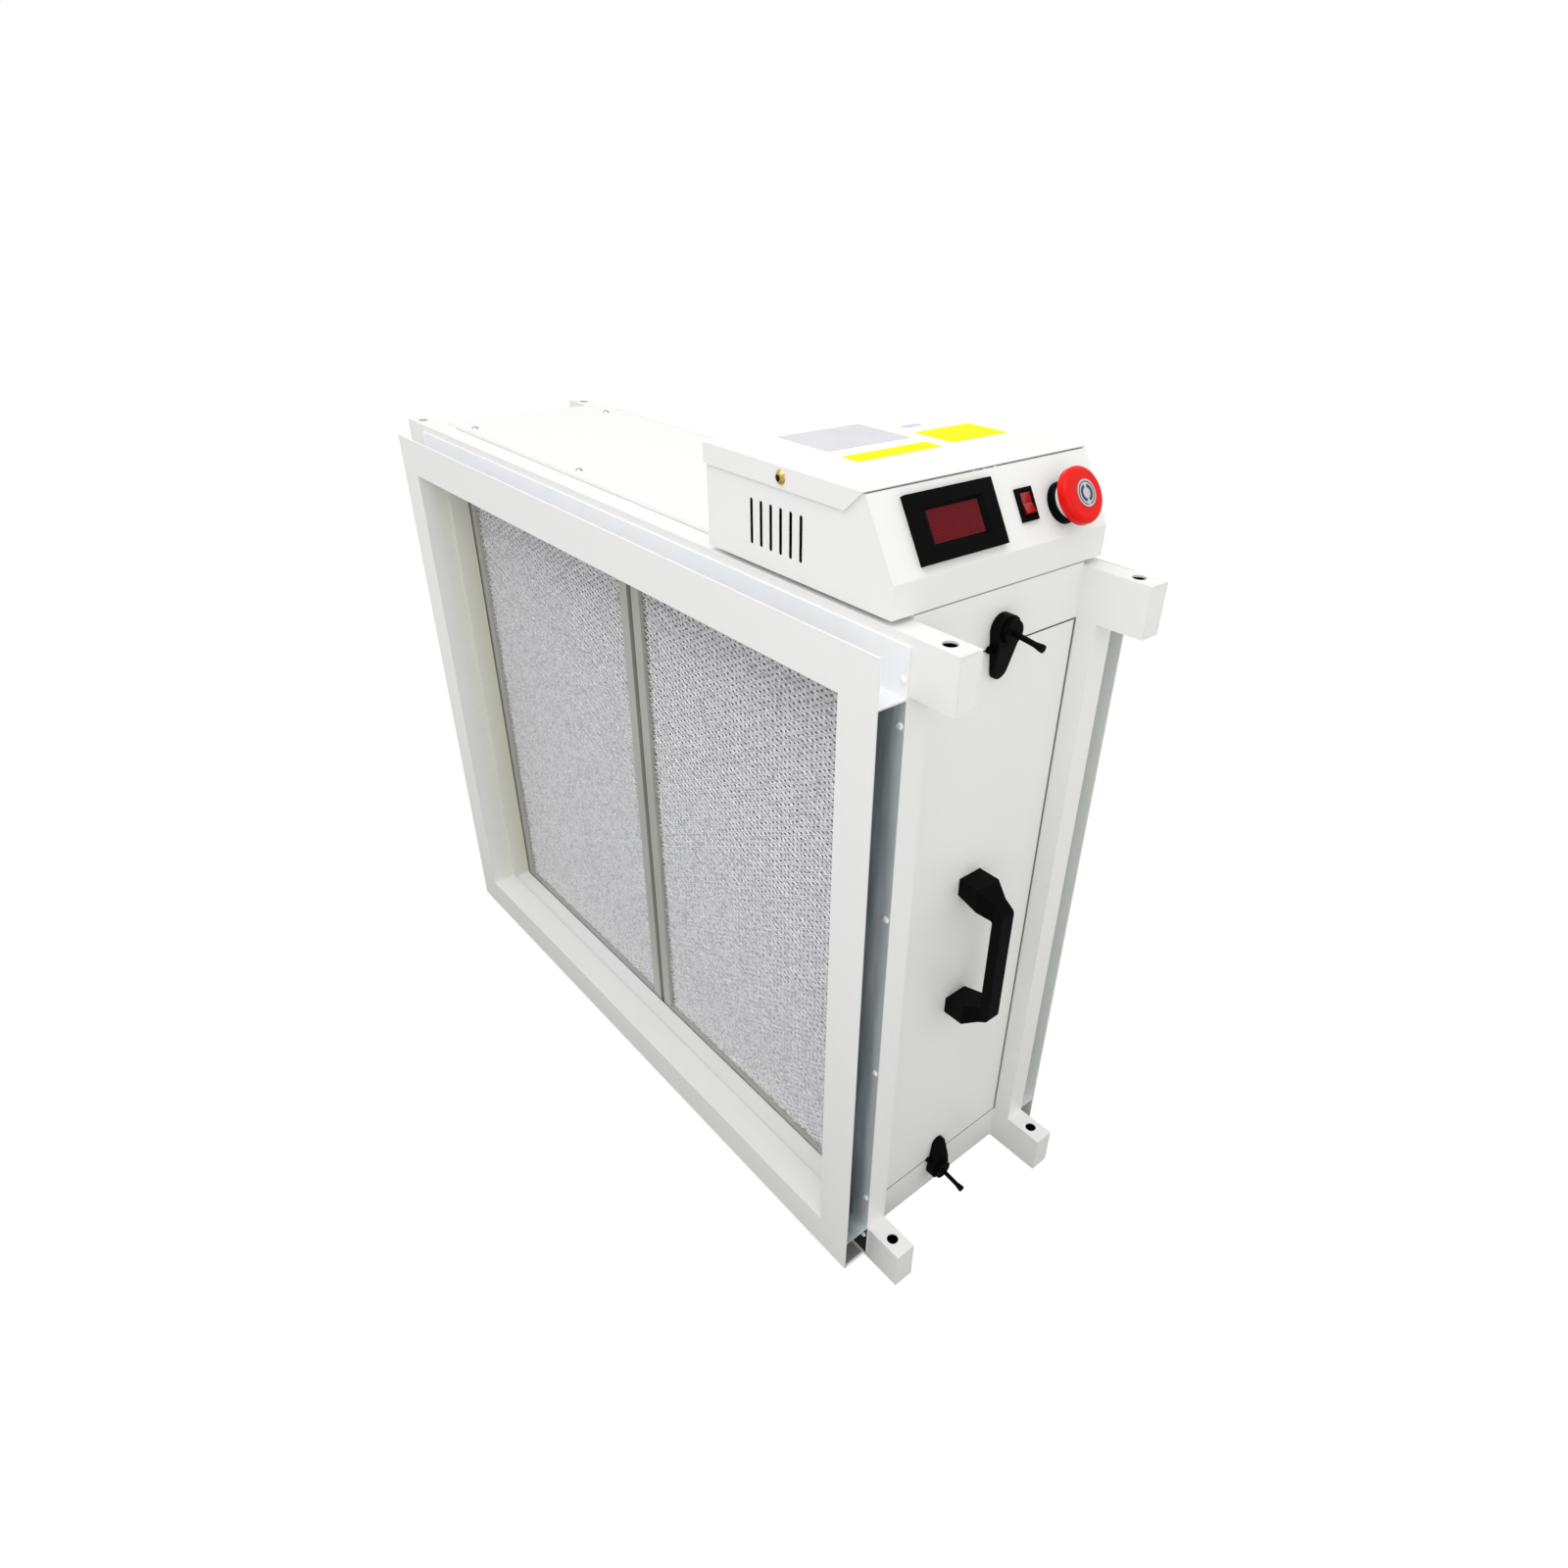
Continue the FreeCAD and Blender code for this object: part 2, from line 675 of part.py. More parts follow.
# Rivets fasten the back lip of each collar to the posts and the bars.
head = number(size, "rivet_head") / 2
rise = number(size, "rivet_rise")
lip_sheet = number(size, "collar_sheet")
column = number(at, "flange_side") - number(size, "rivet_inset")
pitch = number(size, "rivet_pitch")
height_middle = number(size, "frame_height") / 2 + number(size, "rivet_lift")
rows = (
    number(at, "flange_low") + number(size, "rivet_row_inset"),
    number(at, "flange_high") - number(size, "rivet_row_inset"),
)
points = []
for step in (-1.5, -0.5, 0.5, 1.5):
    for x in (-column, column):
        points.append((x, height_middle + step * pitch))
for step in (-2, -1, 0, 1, 2):
    for z in rows:
        points.append((step * column / 2, z))
solids = []
for y, way in (
    (number(at, "casing_front") - lip_sheet, -1),
    (number(at, "casing_rear") + lip_sheet, 1),
):
    for x, z in points:
        foot = FreeCAD.Vector(x, y, z)
        solids.append(Part.makeCone(head, head * 0.6, rise, foot, FreeCAD.Vector(0, way, 0)))
group("collar_rivets", solids)

# The service door is a folded pan with a return rim and a foam seal.
door_x = "At.side - Size.side_pan_depth"
door_y = "At.inner_front + Size.door_gap"
door_z = "At.low + Size.door_gap"
door_depth = f"{cross_depth} - 2 * Size.door_gap"
door_height = "At.post_height - 2 * Size.door_gap"
solid = box("door_outer", (door_x, door_y, door_z), ("Size.side_pan_depth", door_depth, door_height))
hollow = box(
    "door_inner",
    (f"{door_x} + Size.panel_sheet", f"{door_y} + Size.panel_sheet", f"{door_z} + Size.panel_sheet"),
    (
        "Size.side_pan_depth - 2 * Size.panel_sheet",
        f"{door_depth} - 2 * Size.panel_sheet",
        f"{door_height} - 2 * Size.panel_sheet",
    ),
)
mouth = box(
    "door_mouth",
    (door_x, f"{door_y} + Size.door_rim", f"{door_z} + Size.door_rim"),
    ("Size.panel_sheet", f"{door_depth} - 2 * Size.door_rim", f"{door_height} - 2 * Size.door_rim"),
)
handle_low = "Size.frame_height / 2 - Size.handle_length / 2"
screw_levels = (
    f"{handle_low} + Size.handle_screw_inset",
    "Size.frame_height / 2 + Size.handle_length / 2 - Size.handle_screw_inset",
)
holes = []
for index, z in enumerate(screw_levels):
    start = ("At.side - Size.panel_sheet", "At.middle", z)
    across = "Size.handle_screw + Size.cutout_fit"
    holes.append(rod(f"door_hole_{index}", start, across, "Size.panel_sheet", "x"))
keep(cut("door_folded", solid, hollow, mouth, *holes), "door_panel")

seal_x = f"{door_x} - Size.gasket_thick"
solid = box("seal_outer", (seal_x, door_y, door_z), ("Size.gasket_thick", door_depth, door_height))
hollow = box(
    "seal_inner",
    (seal_x, f"{door_y} + Size.gasket_width", f"{door_z} + Size.gasket_width"),
    ("Size.gasket_thick", f"{door_depth} - 2 * Size.gasket_width", f"{door_height} - 2 * Size.gasket_width"),
)
keep(cut("seal_ring", solid, hollow), "door_gasket")

# Bridge handle: two square feet slant in to a straight grip that is slimmer
# than the feet both ways.
reach = "Size.handle_standoff"
throat = "Size.handle_standoff - Size.handle_grip"
tall = "Size.handle_length"
bridge = [
    ("0", "0"),
    ("Size.handle_square", "0"),
    (reach, "Size.handle_slant"),
    (reach, f"{tall} - Size.handle_slant"),
    ("Size.handle_square", tall),
    ("0", tall),
    ("0", f"{tall} - Size.handle_foot"),
    (throat, f"{tall} - Size.handle_foot - Size.handle_inner_slant"),
    (throat, "Size.handle_foot + Size.handle_inner_slant"),
    ("0", "Size.handle_foot"),
]
corner = ("At.side", "At.middle - Size.handle_width / 2", handle_low)
handle = extrusion("handle_body", "y", bridge, "Size.handle_width", corner)
pinch = "(Size.handle_width - Size.handle_grip_width) / 2"
narrowing = [
    ("0", "0"),
    ("Size.handle_square", "0"),
    (throat, pinch),
    (reach, pinch),
    (reach, f"Size.handle_width - {pinch}"),
    (throat, f"Size.handle_width - {pinch}"),
    ("Size.handle_square", "Size.handle_width"),
    ("0", "Size.handle_width"),
]
grip_x = number(size, "handle_standoff")
inner_x = grip_x - number(size, "handle_grip")


def outer_corner(edge):
    box_of = edge.BoundBox
    return box_of.YLength > 5 and box_of.XLength < 0.01 and abs(box_of.XMin - grip_x) < 0.01


def inner_corner(edge):
    box_of = edge.BoundBox
    return box_of.YLength > 5 and box_of.XLength < 0.01 and abs(box_of.XMin - inner_x) < 0.01


round_edges(handle, "Size.handle_round", outer_corner)
round_edges(handle, "Size.handle_round / 2", inner_corner)
waist = extrusion("handle_waist", "z", narrowing, tall, corner)
slim = doc.addObject("Part::MultiCommon", "handle_slim")
slim.Shapes = [handle, waist]
blind = []
for index, z in enumerate(screw_levels):
    start = ("At.side", "At.middle", z)
    across = "Size.handle_screw + Size.cutout_fit"
    blind.append(rod(f"handle_bore_{index}", start, across, "Size.handle_screw_depth", "x"))
keep(cut("handle_drilled", slim, *blind), "door_handle")

screws = []
for index, z in enumerate(screw_levels):
    start = ("At.side - Size.panel_sheet - Size.handle_screw_cap", "At.middle", z)
    length = "Size.handle_screw_depth + Size.handle_screw_cap"
    shaft = rod(f"handle_shank_{index}", start, "Size.handle_screw", length, "x")
    cap = rod(f"handle_cap_{index}", start, "2 * Size.handle_screw", "Size.handle_screw_cap", "x")
    screws.append(fuse(f"handle_screw_{index}", shaft, cap))
keep(bundle("handle_screw_pair", screws), "handle_screws")

# Two turn latches hold the door. Each is a drop-shaped leaf that thins
# towards its tip, with a round boss, a stop lug and a lever pin. It turns
# on a stud through the cross rail.
studs = []
for level, pivot in (("top", "At.latch_high"), ("bottom", "Size.latch_inset")):
    start = ("At.side - Size.tube_wall - Size.stud_head_rise", "At.middle", pivot)
    length = "Size.stud_depth + Size.tube_wall + Size.stud_head_rise"
    shaft = rod(f"stud_shank_{level}", start, "Size.stud_shank", length, "x")
    cap = rod(f"stud_cap_{level}", start, "Size.stud_head", "Size.stud_head_rise", "x")
    studs.append(fuse(f"stud_{level}", shaft, cap))
keep(bundle("stud_pair", studs), "latch_studs")

for level, pivot, way in (("top", "At.latch_high", "-"), ("bottom", "Size.latch_inset", "+")):
    name = f"latch_{level}"
    hub_at = ("At.latch_face", "At.middle", pivot)
    hub = rod(name + "_hub", hub_at, "Size.latch_width", "Size.latch_thick", "x")
    tip_at = ("At.latch_face", "At.middle", f"{pivot} {way} At.latch_span")
    tip = rod(name + "_tip", tip_at, "Size.latch_tip_width", "Size.latch_thick", "x")
    big = "At.latch_big * At.latch_cosine"
    small = "At.latch_small * At.latch_cosine"
    near = "At.latch_big * At.latch_sine"
    far = "At.latch_span + At.latch_small * At.latch_sine"
    if way == "-":
        flank = [
            (f"{big} - {small}", "0"),
            (f"{big} + {small}", "0"),
            (f"2 * {big}", f"{far} - {near}"),
            ("0", f"{far} - {near}"),
        ]
        low = f"{pivot} - ({far})"
    else:
        flank = [
            ("0", "0"),
            (f"2 * {big}", "0"),
            (f"{big} + {small}", f"{far} - {near}"),
            (f"{big} - {small}", f"{far} - {near}"),
        ]
        low = f"{pivot} + {near}"
    leaf_at = ("At.latch_face", f"At.middle - {big}", low)
    leaf = extrusion(name + "_leaf", "x", flank, "Size.latch_thick", leaf_at)
    taper = "Size.latch_thick - Size.latch_tip_thick"
    run = "Size.latch_reach - Size.latch_shoulder"
    if way == "-":
        shaving = [("0", "0"), (taper, "0"), (taper, run)]
        shaving_low = f"{pivot} - Size.latch_reach"
    else:
        shaving = [("0", run), (taper, "0"), (taper, run)]
        shaving_low = f"{pivot} + Size.latch_shoulder"
    shaving_at = ("At.latch_face + Size.latch_tip_thick", "At.middle - At.latch_big", shaving_low)
    wedge = extrusion(name + "_wedge", "y", shaving, "Size.latch_width", shaving_at)
    blade = cut(name + "_blade", fuse(name + "_flat", hub, tip, leaf), wedge)
    boss_at = ("At.latch_face + Size.latch_thick", "At.middle", pivot)
    boss = rod(name + "_boss", boss_at, "Size.latch_boss", "Size.latch_boss_rise", "x")
    lug_at = ("At.latch_face", "At.middle - At.latch_big", f"{pivot} {way} Size.latch_lug_drop")
    lug = rod(name + "_lug", lug_at, "Size.latch_lug", "Size.latch_thick / 2", "x")
    knob_start = "Size.latch_pin_length - Size.latch_knob_length"
    lever = turned(
        name + "_lever",
        [
            ("0", "0"),
            ("Size.latch_pin / 2", "0"),
            ("Size.latch_pin / 2", knob_start),
            ("Size.latch_knob / 2", "Size.latch_pin_length - Size.latch_knob_straight"),
            ("Size.latch_knob / 2", "Size.latch_pin_length"),
            ("0", "Size.latch_pin_length"),
        ],
        ("At.latch_face + Size.latch_thick", "At.middle", pivot),
    )
    lever.Placement.Rotation = FreeCAD.Rotation(FreeCAD.Vector(0, 1, 0), 90)
    lever.setExpression("Placement.Rotation.Angle", "90 + Size.latch_pin_droop")
    whole = fuse(name + "_whole", blade, boss, lug, lever)
    across = "Size.stud_shank + 2 * Size.latch_float"
    bore_at = ("At.latch_face", "At.middle", pivot)
    bore = rod(name + "_bore", bore_at, across, "Size.stud_depth", "x")
    keep(cut(name + "_bored", whole, bore), name)

# Two framed mesh prefilters stand side by side at the front of the air
# space. Each mesh is a flat wall of staggered diamond openings.
columns = int(number(size, "mesh_columns"))
lines = int(number(size, "mesh_rows"))
mesh_length = number(at, "mesh_length")
mesh_height = number(at, "mesh_height")
mesh_thick = number(size, "mesh_thick")
cell_wide = mesh_length / (columns + 0.5)
cell_tall = mesh_height / (lines + 0.5) * 2
share = number(size, "mesh_open")


def diamond(x, z):
    """A diamond-shaped cutter through the mesh about a point."""
    wide = cell_wide * share / 2
    tall_half = cell_tall * share / 2
    points = [
        FreeCAD.Vector(x - wide, 0, z),
        FreeCAD.Vector(x, 0, z - tall_half),
        FreeCAD.Vector(x + wide, 0, z),
        FreeCAD.Vector(x, 0, z + tall_half),
    ]
    wire = Part.makePolygon(points + points[:1])
    return Part.Face(wire).extrude(FreeCAD.Vector(0, mesh_thick, 0))


for side, x in (("left", "At.space_left"), ("right", "At.unit_right")):
    name = f"prefilter_frame_{side}"
    solid = box(
        name + "_outer",
        (x, "At.prefilter_front", "At.low"),
        ("At.unit_length", "Size.prefilter_depth", "At.prefilter_height"),
    )
    hollow = box(
        name + "_inner",
        (f"{x} + Size.prefilter_rail", "At.prefilter_front", "At.mesh_low"),
        ("At.mesh_length", "Size.prefilter_depth", "At.mesh_height"),
    )
    keep(cut(name + "_ring", solid, hollow), name)

    cutters = []
    for line in range(lines):
        shift = 0.5 if line % 2 == 0 else 1.0
        count = columns if line % 2 == 0 else columns - 1
        for step in range(count):
            cutters.append(diamond((step + shift + 0.25) * cell_wide, (line + 0.75) * cell_tall / 2))
    wall = Part.makeBox(mesh_length, mesh_thick, mesh_height).cut(Part.makeCompound(cutters))
    mesh = doc.addObject("Part::Feature", f"prefilter_mesh_{side}_wall")
    mesh.Shape = wall.Solids[0]
    place(mesh, (f"{x} + Size.prefilter_rail", "At.mesh_front", "At.mesh_low"))
    keep(mesh, f"prefilter_mesh_{side}")

# Two electrostatic cells stand behind the prefilters. Each is an open frame
# with earthed plates between its ends, charged plates between those on
# four bus bars, and ionising wires in front.
plate_room = number(at, "cell_inner_height")
plate_pitch = number(size, "plate_pitch")
plate_count = int(plate_room / plate_pitch)
plate_first = (plate_room - (plate_count - 1) * plate_pitch) / 2
insulators = []
wires = []
for side, x in (("left", "At.space_left"), ("right", "At.unit_right")):
    inner_x = f"{x} + Size.cell_wall"
    name = f"cell_frame_{side}"
    solid = box(
        name + "_outer",
        (x, "At.cell_front", "At.low"),
        ("At.unit_length", "Size.cell_depth", "At.cell_height"),
    )
    hollow = box(
        name + "_inner",
        (inner_x, "At.cell_front", "At.cell_inner_low"),
        ("At.cell_inner_length", "Size.cell_depth", "At.cell_inner_height"),
    )
    keep(cut(name + "_ring", solid, hollow), name)

    earthed = []
    charged = []
    for index in range(plate_count):
        rise = plate_first + index * plate_pitch
        low = f"At.cell_inner_low + {rise:.3f} - Size.plate_thick / 2"
        span = ("At.cell_inner_length", "Size.plate_depth", "Size.plate_thick")
        earthed.append(box(f"earthed_{side}_{index}", (inner_x, "At.plate_front", low), span))
        if index + 1 < plate_count:
            low = f"At.cell_inner_low + {rise + plate_pitch / 2:.3f} - Size.plate_thick / 2"
            corner = (f"{inner_x} + Size.charged_margin", "At.plate_front - Size.charged_extra", low)
            span = (
                "At.cell_inner_length - 2 * Size.charged_margin",
                "Size.plate_depth + 2 * Size.charged_extra",
                "Size.plate_thick",
            )
            charged.append(box(f"charged_{side}_{index}", corner, span))
    for end, share_x in (("a", 0.25), ("b", 0.75)):
        bus_x = f"{inner_x} + {share_x} * At.cell_inner_length - Size.bus_width / 2"
        for face, y in (
            ("front", "At.plate_front - Size.charged_extra - Size.bus_thick"),
            ("rear", "At.plate_front + Size.plate_depth + Size.charged_extra"),
        ):
            corner = (bus_x, y, "At.cell_inner_low + Size.insulator_height")
            span = ("Size.bus_width", "Size.bus_thick", "At.cell_inner_height - 2 * Size.insulator_height")
            charged.append(box(f"bus_{side}_{face}_{end}", corner, span))
            foot_x = f"{bus_x} + Size.bus_width / 2 - Size.insulator_width / 2"
            foot_y = f"{y} + Size.bus_thick / 2 - Size.insulator_width / 2"
            span = ("Size.insulator_width", "Size.insulator_width", "Size.insulator_height")
            for level, z in (
                ("low", "At.cell_inner_low"),
                ("high", "At.cell_inner_low + At.cell_inner_height - Size.insulator_height"),
            ):
                insulators.append(box(f"insulator_{side}_{face}_{end}_{level}", (foot_x, foot_y, z), span))
    keep(bundle(f"cell_plates_{side}_stack", earthed), f"cell_plates_{side}")
    keep(bundle(f"cell_charged_{side}_stack", charged), f"cell_charged_{side}")

    count = int(number(size, "wire_count"))
    for index in range(count):
        level = f"At.cell_inner_low + At.cell_inner_height * {index + 0.5} / {count}"
        start = (inner_x, "At.cell_front + Size.wire_setback", level)
        wires.append(rod(f"wire_{side}_{index}", start, "Size.wire_thick", "At.cell_inner_length", "x"))
keep(bundle("insulator_group", insulators), "cell_insulators")
keep(bundle("wire_group", wires), "ioniser_wires")

# Spring contacts in the ceiling feed the two cells.
contacts = []
for side, x in (("left", "At.space_left"), ("right", "At.unit_right")):
    start = (f"{x} + At.unit_length / 2", "At.middle", "At.low + At.cell_height")
    contacts.append(rod(f"contact_{side}", start, "Size.contact_width", "Size.cell_headroom"))
keep(bundle("contact_pair", contacts), "hv_contacts")

# The power box stands on the right-hand end of the top. Its outer side
# slopes back and carries the meter, the rocker switch and the stop button.
section = [
    ("0", "0"),
    ("Size.box_length", "0"),
    ("Size.box_length", "Size.box_wall_height"),
    ("At.wall_right", "At.wall_rise"),
    ("0", "At.wall_rise"),
]
box_corner = ("At.box_left", "At.casing_front", "At.top")
shell = extrusion("power_box_shell", "y", section, "Size.casing_depth", box_corner)
doc.recompute()
open_face = [
    f"Face{index}"
    for index, face in enumerate(shell.Tip.Shape.Faces, 1)
    if face.BoundBox.ZLength < 0.01 and face.BoundBox.ZMin > number(at, "wall_rise") - 0.1
]
walls = shell.newObject("PartDesign::Thickness", "power_box_walls")
walls.Base = (shell.Group[-2], open_face)
walls.setExpression("Value", "Size.box_sheet")
walls.Reversed = True
walls.Mode = "Skin"
walls.Join = "Intersection"


def on_slope(piece):
    """Turn a piece made about its own origin onto the sloping face."""
    piece.Placement.Rotation = FreeCAD.Rotation(FreeCAD.Vector(0, 1, 0), 60)
    piece.setExpression("Placement.Rotation.Angle", "At.slope_angle")
    return place(piece, ("At.side", "0", "At.bend"))


def slope_block(name, up, y, height, width, low, high):
    """A block on the slope about a point, between two levels off its surface."""
    corner = (f"-({up}) - ({height}) / 2", f"{y} - ({width}) / 2", low)
    return box(name, corner, (height, width, f"{high} - ({low})"))


tools = []
for index in range(int(number(size, "vent_count"))):
    x = f"At.side - Size.vent_inset - {index} * Size.vent_pitch"
    low = "At.top + Size.vent_rise"
    depth = "Size.casing_depth"
    slot = box(
        f"vent_slot_{index}",
        (f"{x} - Size.vent_width / 2", "At.casing_front", f"{low} + Size.vent_width / 2"),
        ("Size.vent_width", depth, "Size.vent_height - Size.vent_width"),
    )
    foot = rod(
        f"vent_foot_{index}",
        (x, "At.casing_front", f"{low} + Size.vent_width / 2"),
        "Size.vent_width",
        depth,
        "y",
    )
    crest = rod(
        f"vent_crest_{index}",
        (x, "At.casing_front", f"{low} + Size.vent_height - Size.vent_width / 2"),
        "Size.vent_width",
        depth,
        "y",
    )
    tools += [slot, foot, crest]

skin_low = "-2 * Size.box_sheet"
skin_high = "Size.box_sheet"
meter_cut = slope_block(
    "meter_cutout",
    "Size.meter_up",
    "At.meter_y",
    "Size.meter_body_height + 2 * Size.cutout_fit",
    "Size.meter_body_width + 2 * Size.cutout_fit",
    skin_low,
    skin_high,
)
rocker_cut = slope_block(
    "rocker_cutout",
    "Size.rocker_up",
    "At.rocker_y",
    "Size.rocker_body_height + 2 * Size.cutout_fit",
    "Size.rocker_body_width + 2 * Size.cutout_fit",
    skin_low,
    skin_high,
)
stop_cut = rod(
    "stop_cutout",
    ("-Size.stop_up", "At.stop_y", skin_low),
    "Size.stop_barrel + 2 * Size.cutout_fit",
    "3 * Size.box_sheet",
)
slope_cuts = fuse("slope_cutouts", meter_cut, rocker_cut, stop_cut)
on_slope(slope_cuts)

screw_x = "At.side - Size.lid_screw_inset"
screw_z = "At.lid_top - Size.lid_screw_drop"
for face, y in (("front", "At.casing_front"), ("rear", "At.casing_rear - Size.box_sheet")):
    start = (screw_x, y, screw_z)
    across = "Size.lid_screw_shank + Size.cutout_fit"
    tools.append(rod(f"box_screw_hole_{face}", start, across, "Size.box_sheet", "y"))
keep(cut("power_box_cut", shell, slope_cuts, *tools), "power_box")

# The lid laps over the front, the rear and the inner end of the box.
lid_height = "Size.lid_lip"
lid_length = "At.lid_right - At.box_left + Size.box_sheet"
lid_side = [
    ("0", "0"),
    (f"{lid_length} - Size.lid_chamfer", "0"),
    (lid_length, lid_height),
    ("0", lid_height),
]
lid_corner = ("At.box_left - Size.box_sheet", "At.casing_front - Size.box_sheet", "At.lid_top - Size.lid_lip")
block = extrusion("lid_block", "y", lid_side, "Size.casing_depth + 2 * Size.box_sheet", lid_corner)
hollow = box(
    "lid_hollow",
    ("At.box_left", "At.casing_front", "At.lid_top - 2 * Size.lid_lip"),
    ("Size.box_length", "Size.casing_depth", "2 * Size.lid_lip - Size.box_sheet"),
)
holes = []
for face, y in (("front", "At.casing_front - Size.box_sheet"), ("rear", "At.casing_rear")):
    across = "Size.lid_screw_shank + Size.cutout_fit"
    holes.append(rod(f"lid_screw_hole_{face}", (screw_x, y, screw_z), across, "Size.box_sheet", "y"))
keep(cut("lid_folded", block, hollow, *holes), "box_lid")

solids = []
head = number(size, "lid_screw_head")
rise = number(size, "lid_screw_rise")
shank = number(size, "lid_screw_shank")
depth = number(size, "lid_screw_depth")
x = number(at, "side") - number(size, "lid_screw_inset")
z = number(at, "lid_top") - number(size, "lid_screw_drop")
box_sheet = number(size, "box_sheet")
for y, way in (
    (number(at, "casing_front") - box_sheet, -1),
    (number(at, "casing_rear") + box_sheet, 1),
):
    solids.append(pan_head("lid screw", x, y, z, head, rise, shank, depth, FreeCAD.Vector(0, way, 0)))
group("lid_screws", solids)

# The sealed high-voltage supply stands on the floor of the box.
keep(
    box(
        "supply_block",
        ("At.box_left + Size.supply_inset", "At.middle - Size.supply_depth / 2", "At.top + Size.box_sheet"),
        ("Size.supply_length", "Size.supply_depth", "Size.supply_height"),
    ),
    "hv_supply",
)

# Meter: a square-edged bezel and body. Its recess has sloping walls and
# narrows to the window.
meter_at = ("Size.meter_up", "At.meter_y")
bezel = slope_block(
    "meter_bezel_block",
    *meter_at,
    "Size.meter_height",
    "Size.meter_width",
    "0",
    "Size.meter_bezel",
)
behind = slope_block(
    "meter_behind",
    *meter_at,
    "Size.meter_body_height",
    "Size.meter_body_width",
    "-Size.meter_body_depth",
    "0",
)
recess = doc.addObject("Part::Wedge", "meter_recess")
for edge, text in (
    ("Xmin", "-Size.window_height / 2"),
    ("Xmax", "Size.window_height / 2"),
    ("Zmin", "-Size.window_width / 2"),
    ("Zmax", "Size.window_width / 2"),
    ("Ymin", "0"),
    ("Ymax", "Size.window_depth"),
    ("X2min", "-Size.recess_height / 2"),
    ("X2max", "Size.recess_height / 2"),
    ("Z2min", "-Size.recess_width / 2"),
    ("Z2max", "Size.recess_width / 2"),
):
    recess.setExpression(edge, text)
recess.Placement.Rotation = FreeCAD.Rotation(FreeCAD.Vector(1, 0, 0), 90)
place(recess, ("-Size.meter_up", "At.meter_y", "Size.meter_bezel - Size.window_depth"))
pane_low = "Size.meter_bezel - Size.window_depth - Size.window_thick"
pane_high = "Size.meter_bezel - Size.window_depth"
pane_sizes = ("Size.window_height", "Size.window_width", pane_low, pane_high)
pocket = slope_block("window_pocket", *meter_at, *pane_sizes)
meter = cut("meter_shaped", fuse("meter_solid", bezel, behind), recess, pocket)
keep(on_slope(meter), "meter_body")
pane = slope_block("window_pane", *meter_at, *pane_sizes)
keep(on_slope(bundle("window_placed", [pane])), "meter_window")

# Rocker switch: a framed well with a paddle that rocks about a pin line.
rocker_at = ("Size.rocker_up", "At.rocker_y")
bezel = slope_block(
    "rocker_bezel_block",
    *rocker_at,
    "Size.rocker_height",
    "Size.rocker_width",
    "0",
    "Size.rocker_bezel",
)
behind = slope_block(
    "rocker_behind",
    *rocker_at,
    "Size.rocker_body_height",
    "Size.rocker_body_width",
    "-Size.rocker_body_depth",
    "0",
)
well_width = "Size.rocker_body_width - 2 * Size.rocker_wall"
well_height = "Size.rocker_body_height - Size.rocker_wall"
well = slope_block(
    "rocker_well",
    *rocker_at,
    well_height,
    well_width,
    "-Size.rocker_slot_depth",
    "Size.rocker_bezel",
)
keep(on_slope(cut("rocker_shaped", fuse("rocker_solid", bezel, behind), well)), "rocker_frame")

paddle_half = "Size.rocker_body_height / 2 - Size.rocker_wall / 2 - 3 * Size.rocker_float"
crown = "Size.rocker_axis_depth + Size.rocker_crown"
paddle_side = [
    (f"{paddle_half} - Size.paddle_foot", "0"),
    (f"{paddle_half} + Size.paddle_foot", "0"),
    (f"2 * ({paddle_half}) - Size.rocker_float", "Size.rocker_slot_depth / 2 + Size.rocker_dip"),
    (f"2 * ({paddle_half}) - Size.rocker_float", f"Size.rocker_slot_depth / 2 + {crown}"),
    (paddle_half, f"Size.rocker_slot_depth / 2 + {crown} - Size.rocker_dip"),
    ("Size.rocker_float", f"Size.rocker_slot_depth / 2 + {crown}"),
    ("Size.rocker_float", "Size.rocker_slot_depth / 2 + Size.rocker_dip"),
]
corner = (
    f"-({paddle_half})",
    f"-({well_width}) / 2 + Size.rocker_float",
    "-Size.rocker_slot_depth / 2",
)
flat = extrusion("paddle_block", "y", paddle_side, f"{well_width} - 2 * Size.rocker_float", corner)
tipped = bundle("paddle_tipped", [flat])
tipped.Placement.Rotation = FreeCAD.Rotation(FreeCAD.Vector(0, -1, 0), 5)
tipped.setExpression("Placement.Rotation.Angle", "Size.rocker_tilt")
place(tipped, ("-Size.rocker_up", "At.rocker_y", "-Size.rocker_axis_depth"))
keep(on_slope(bundle("paddle_placed", [tipped])), "rocker_paddle")

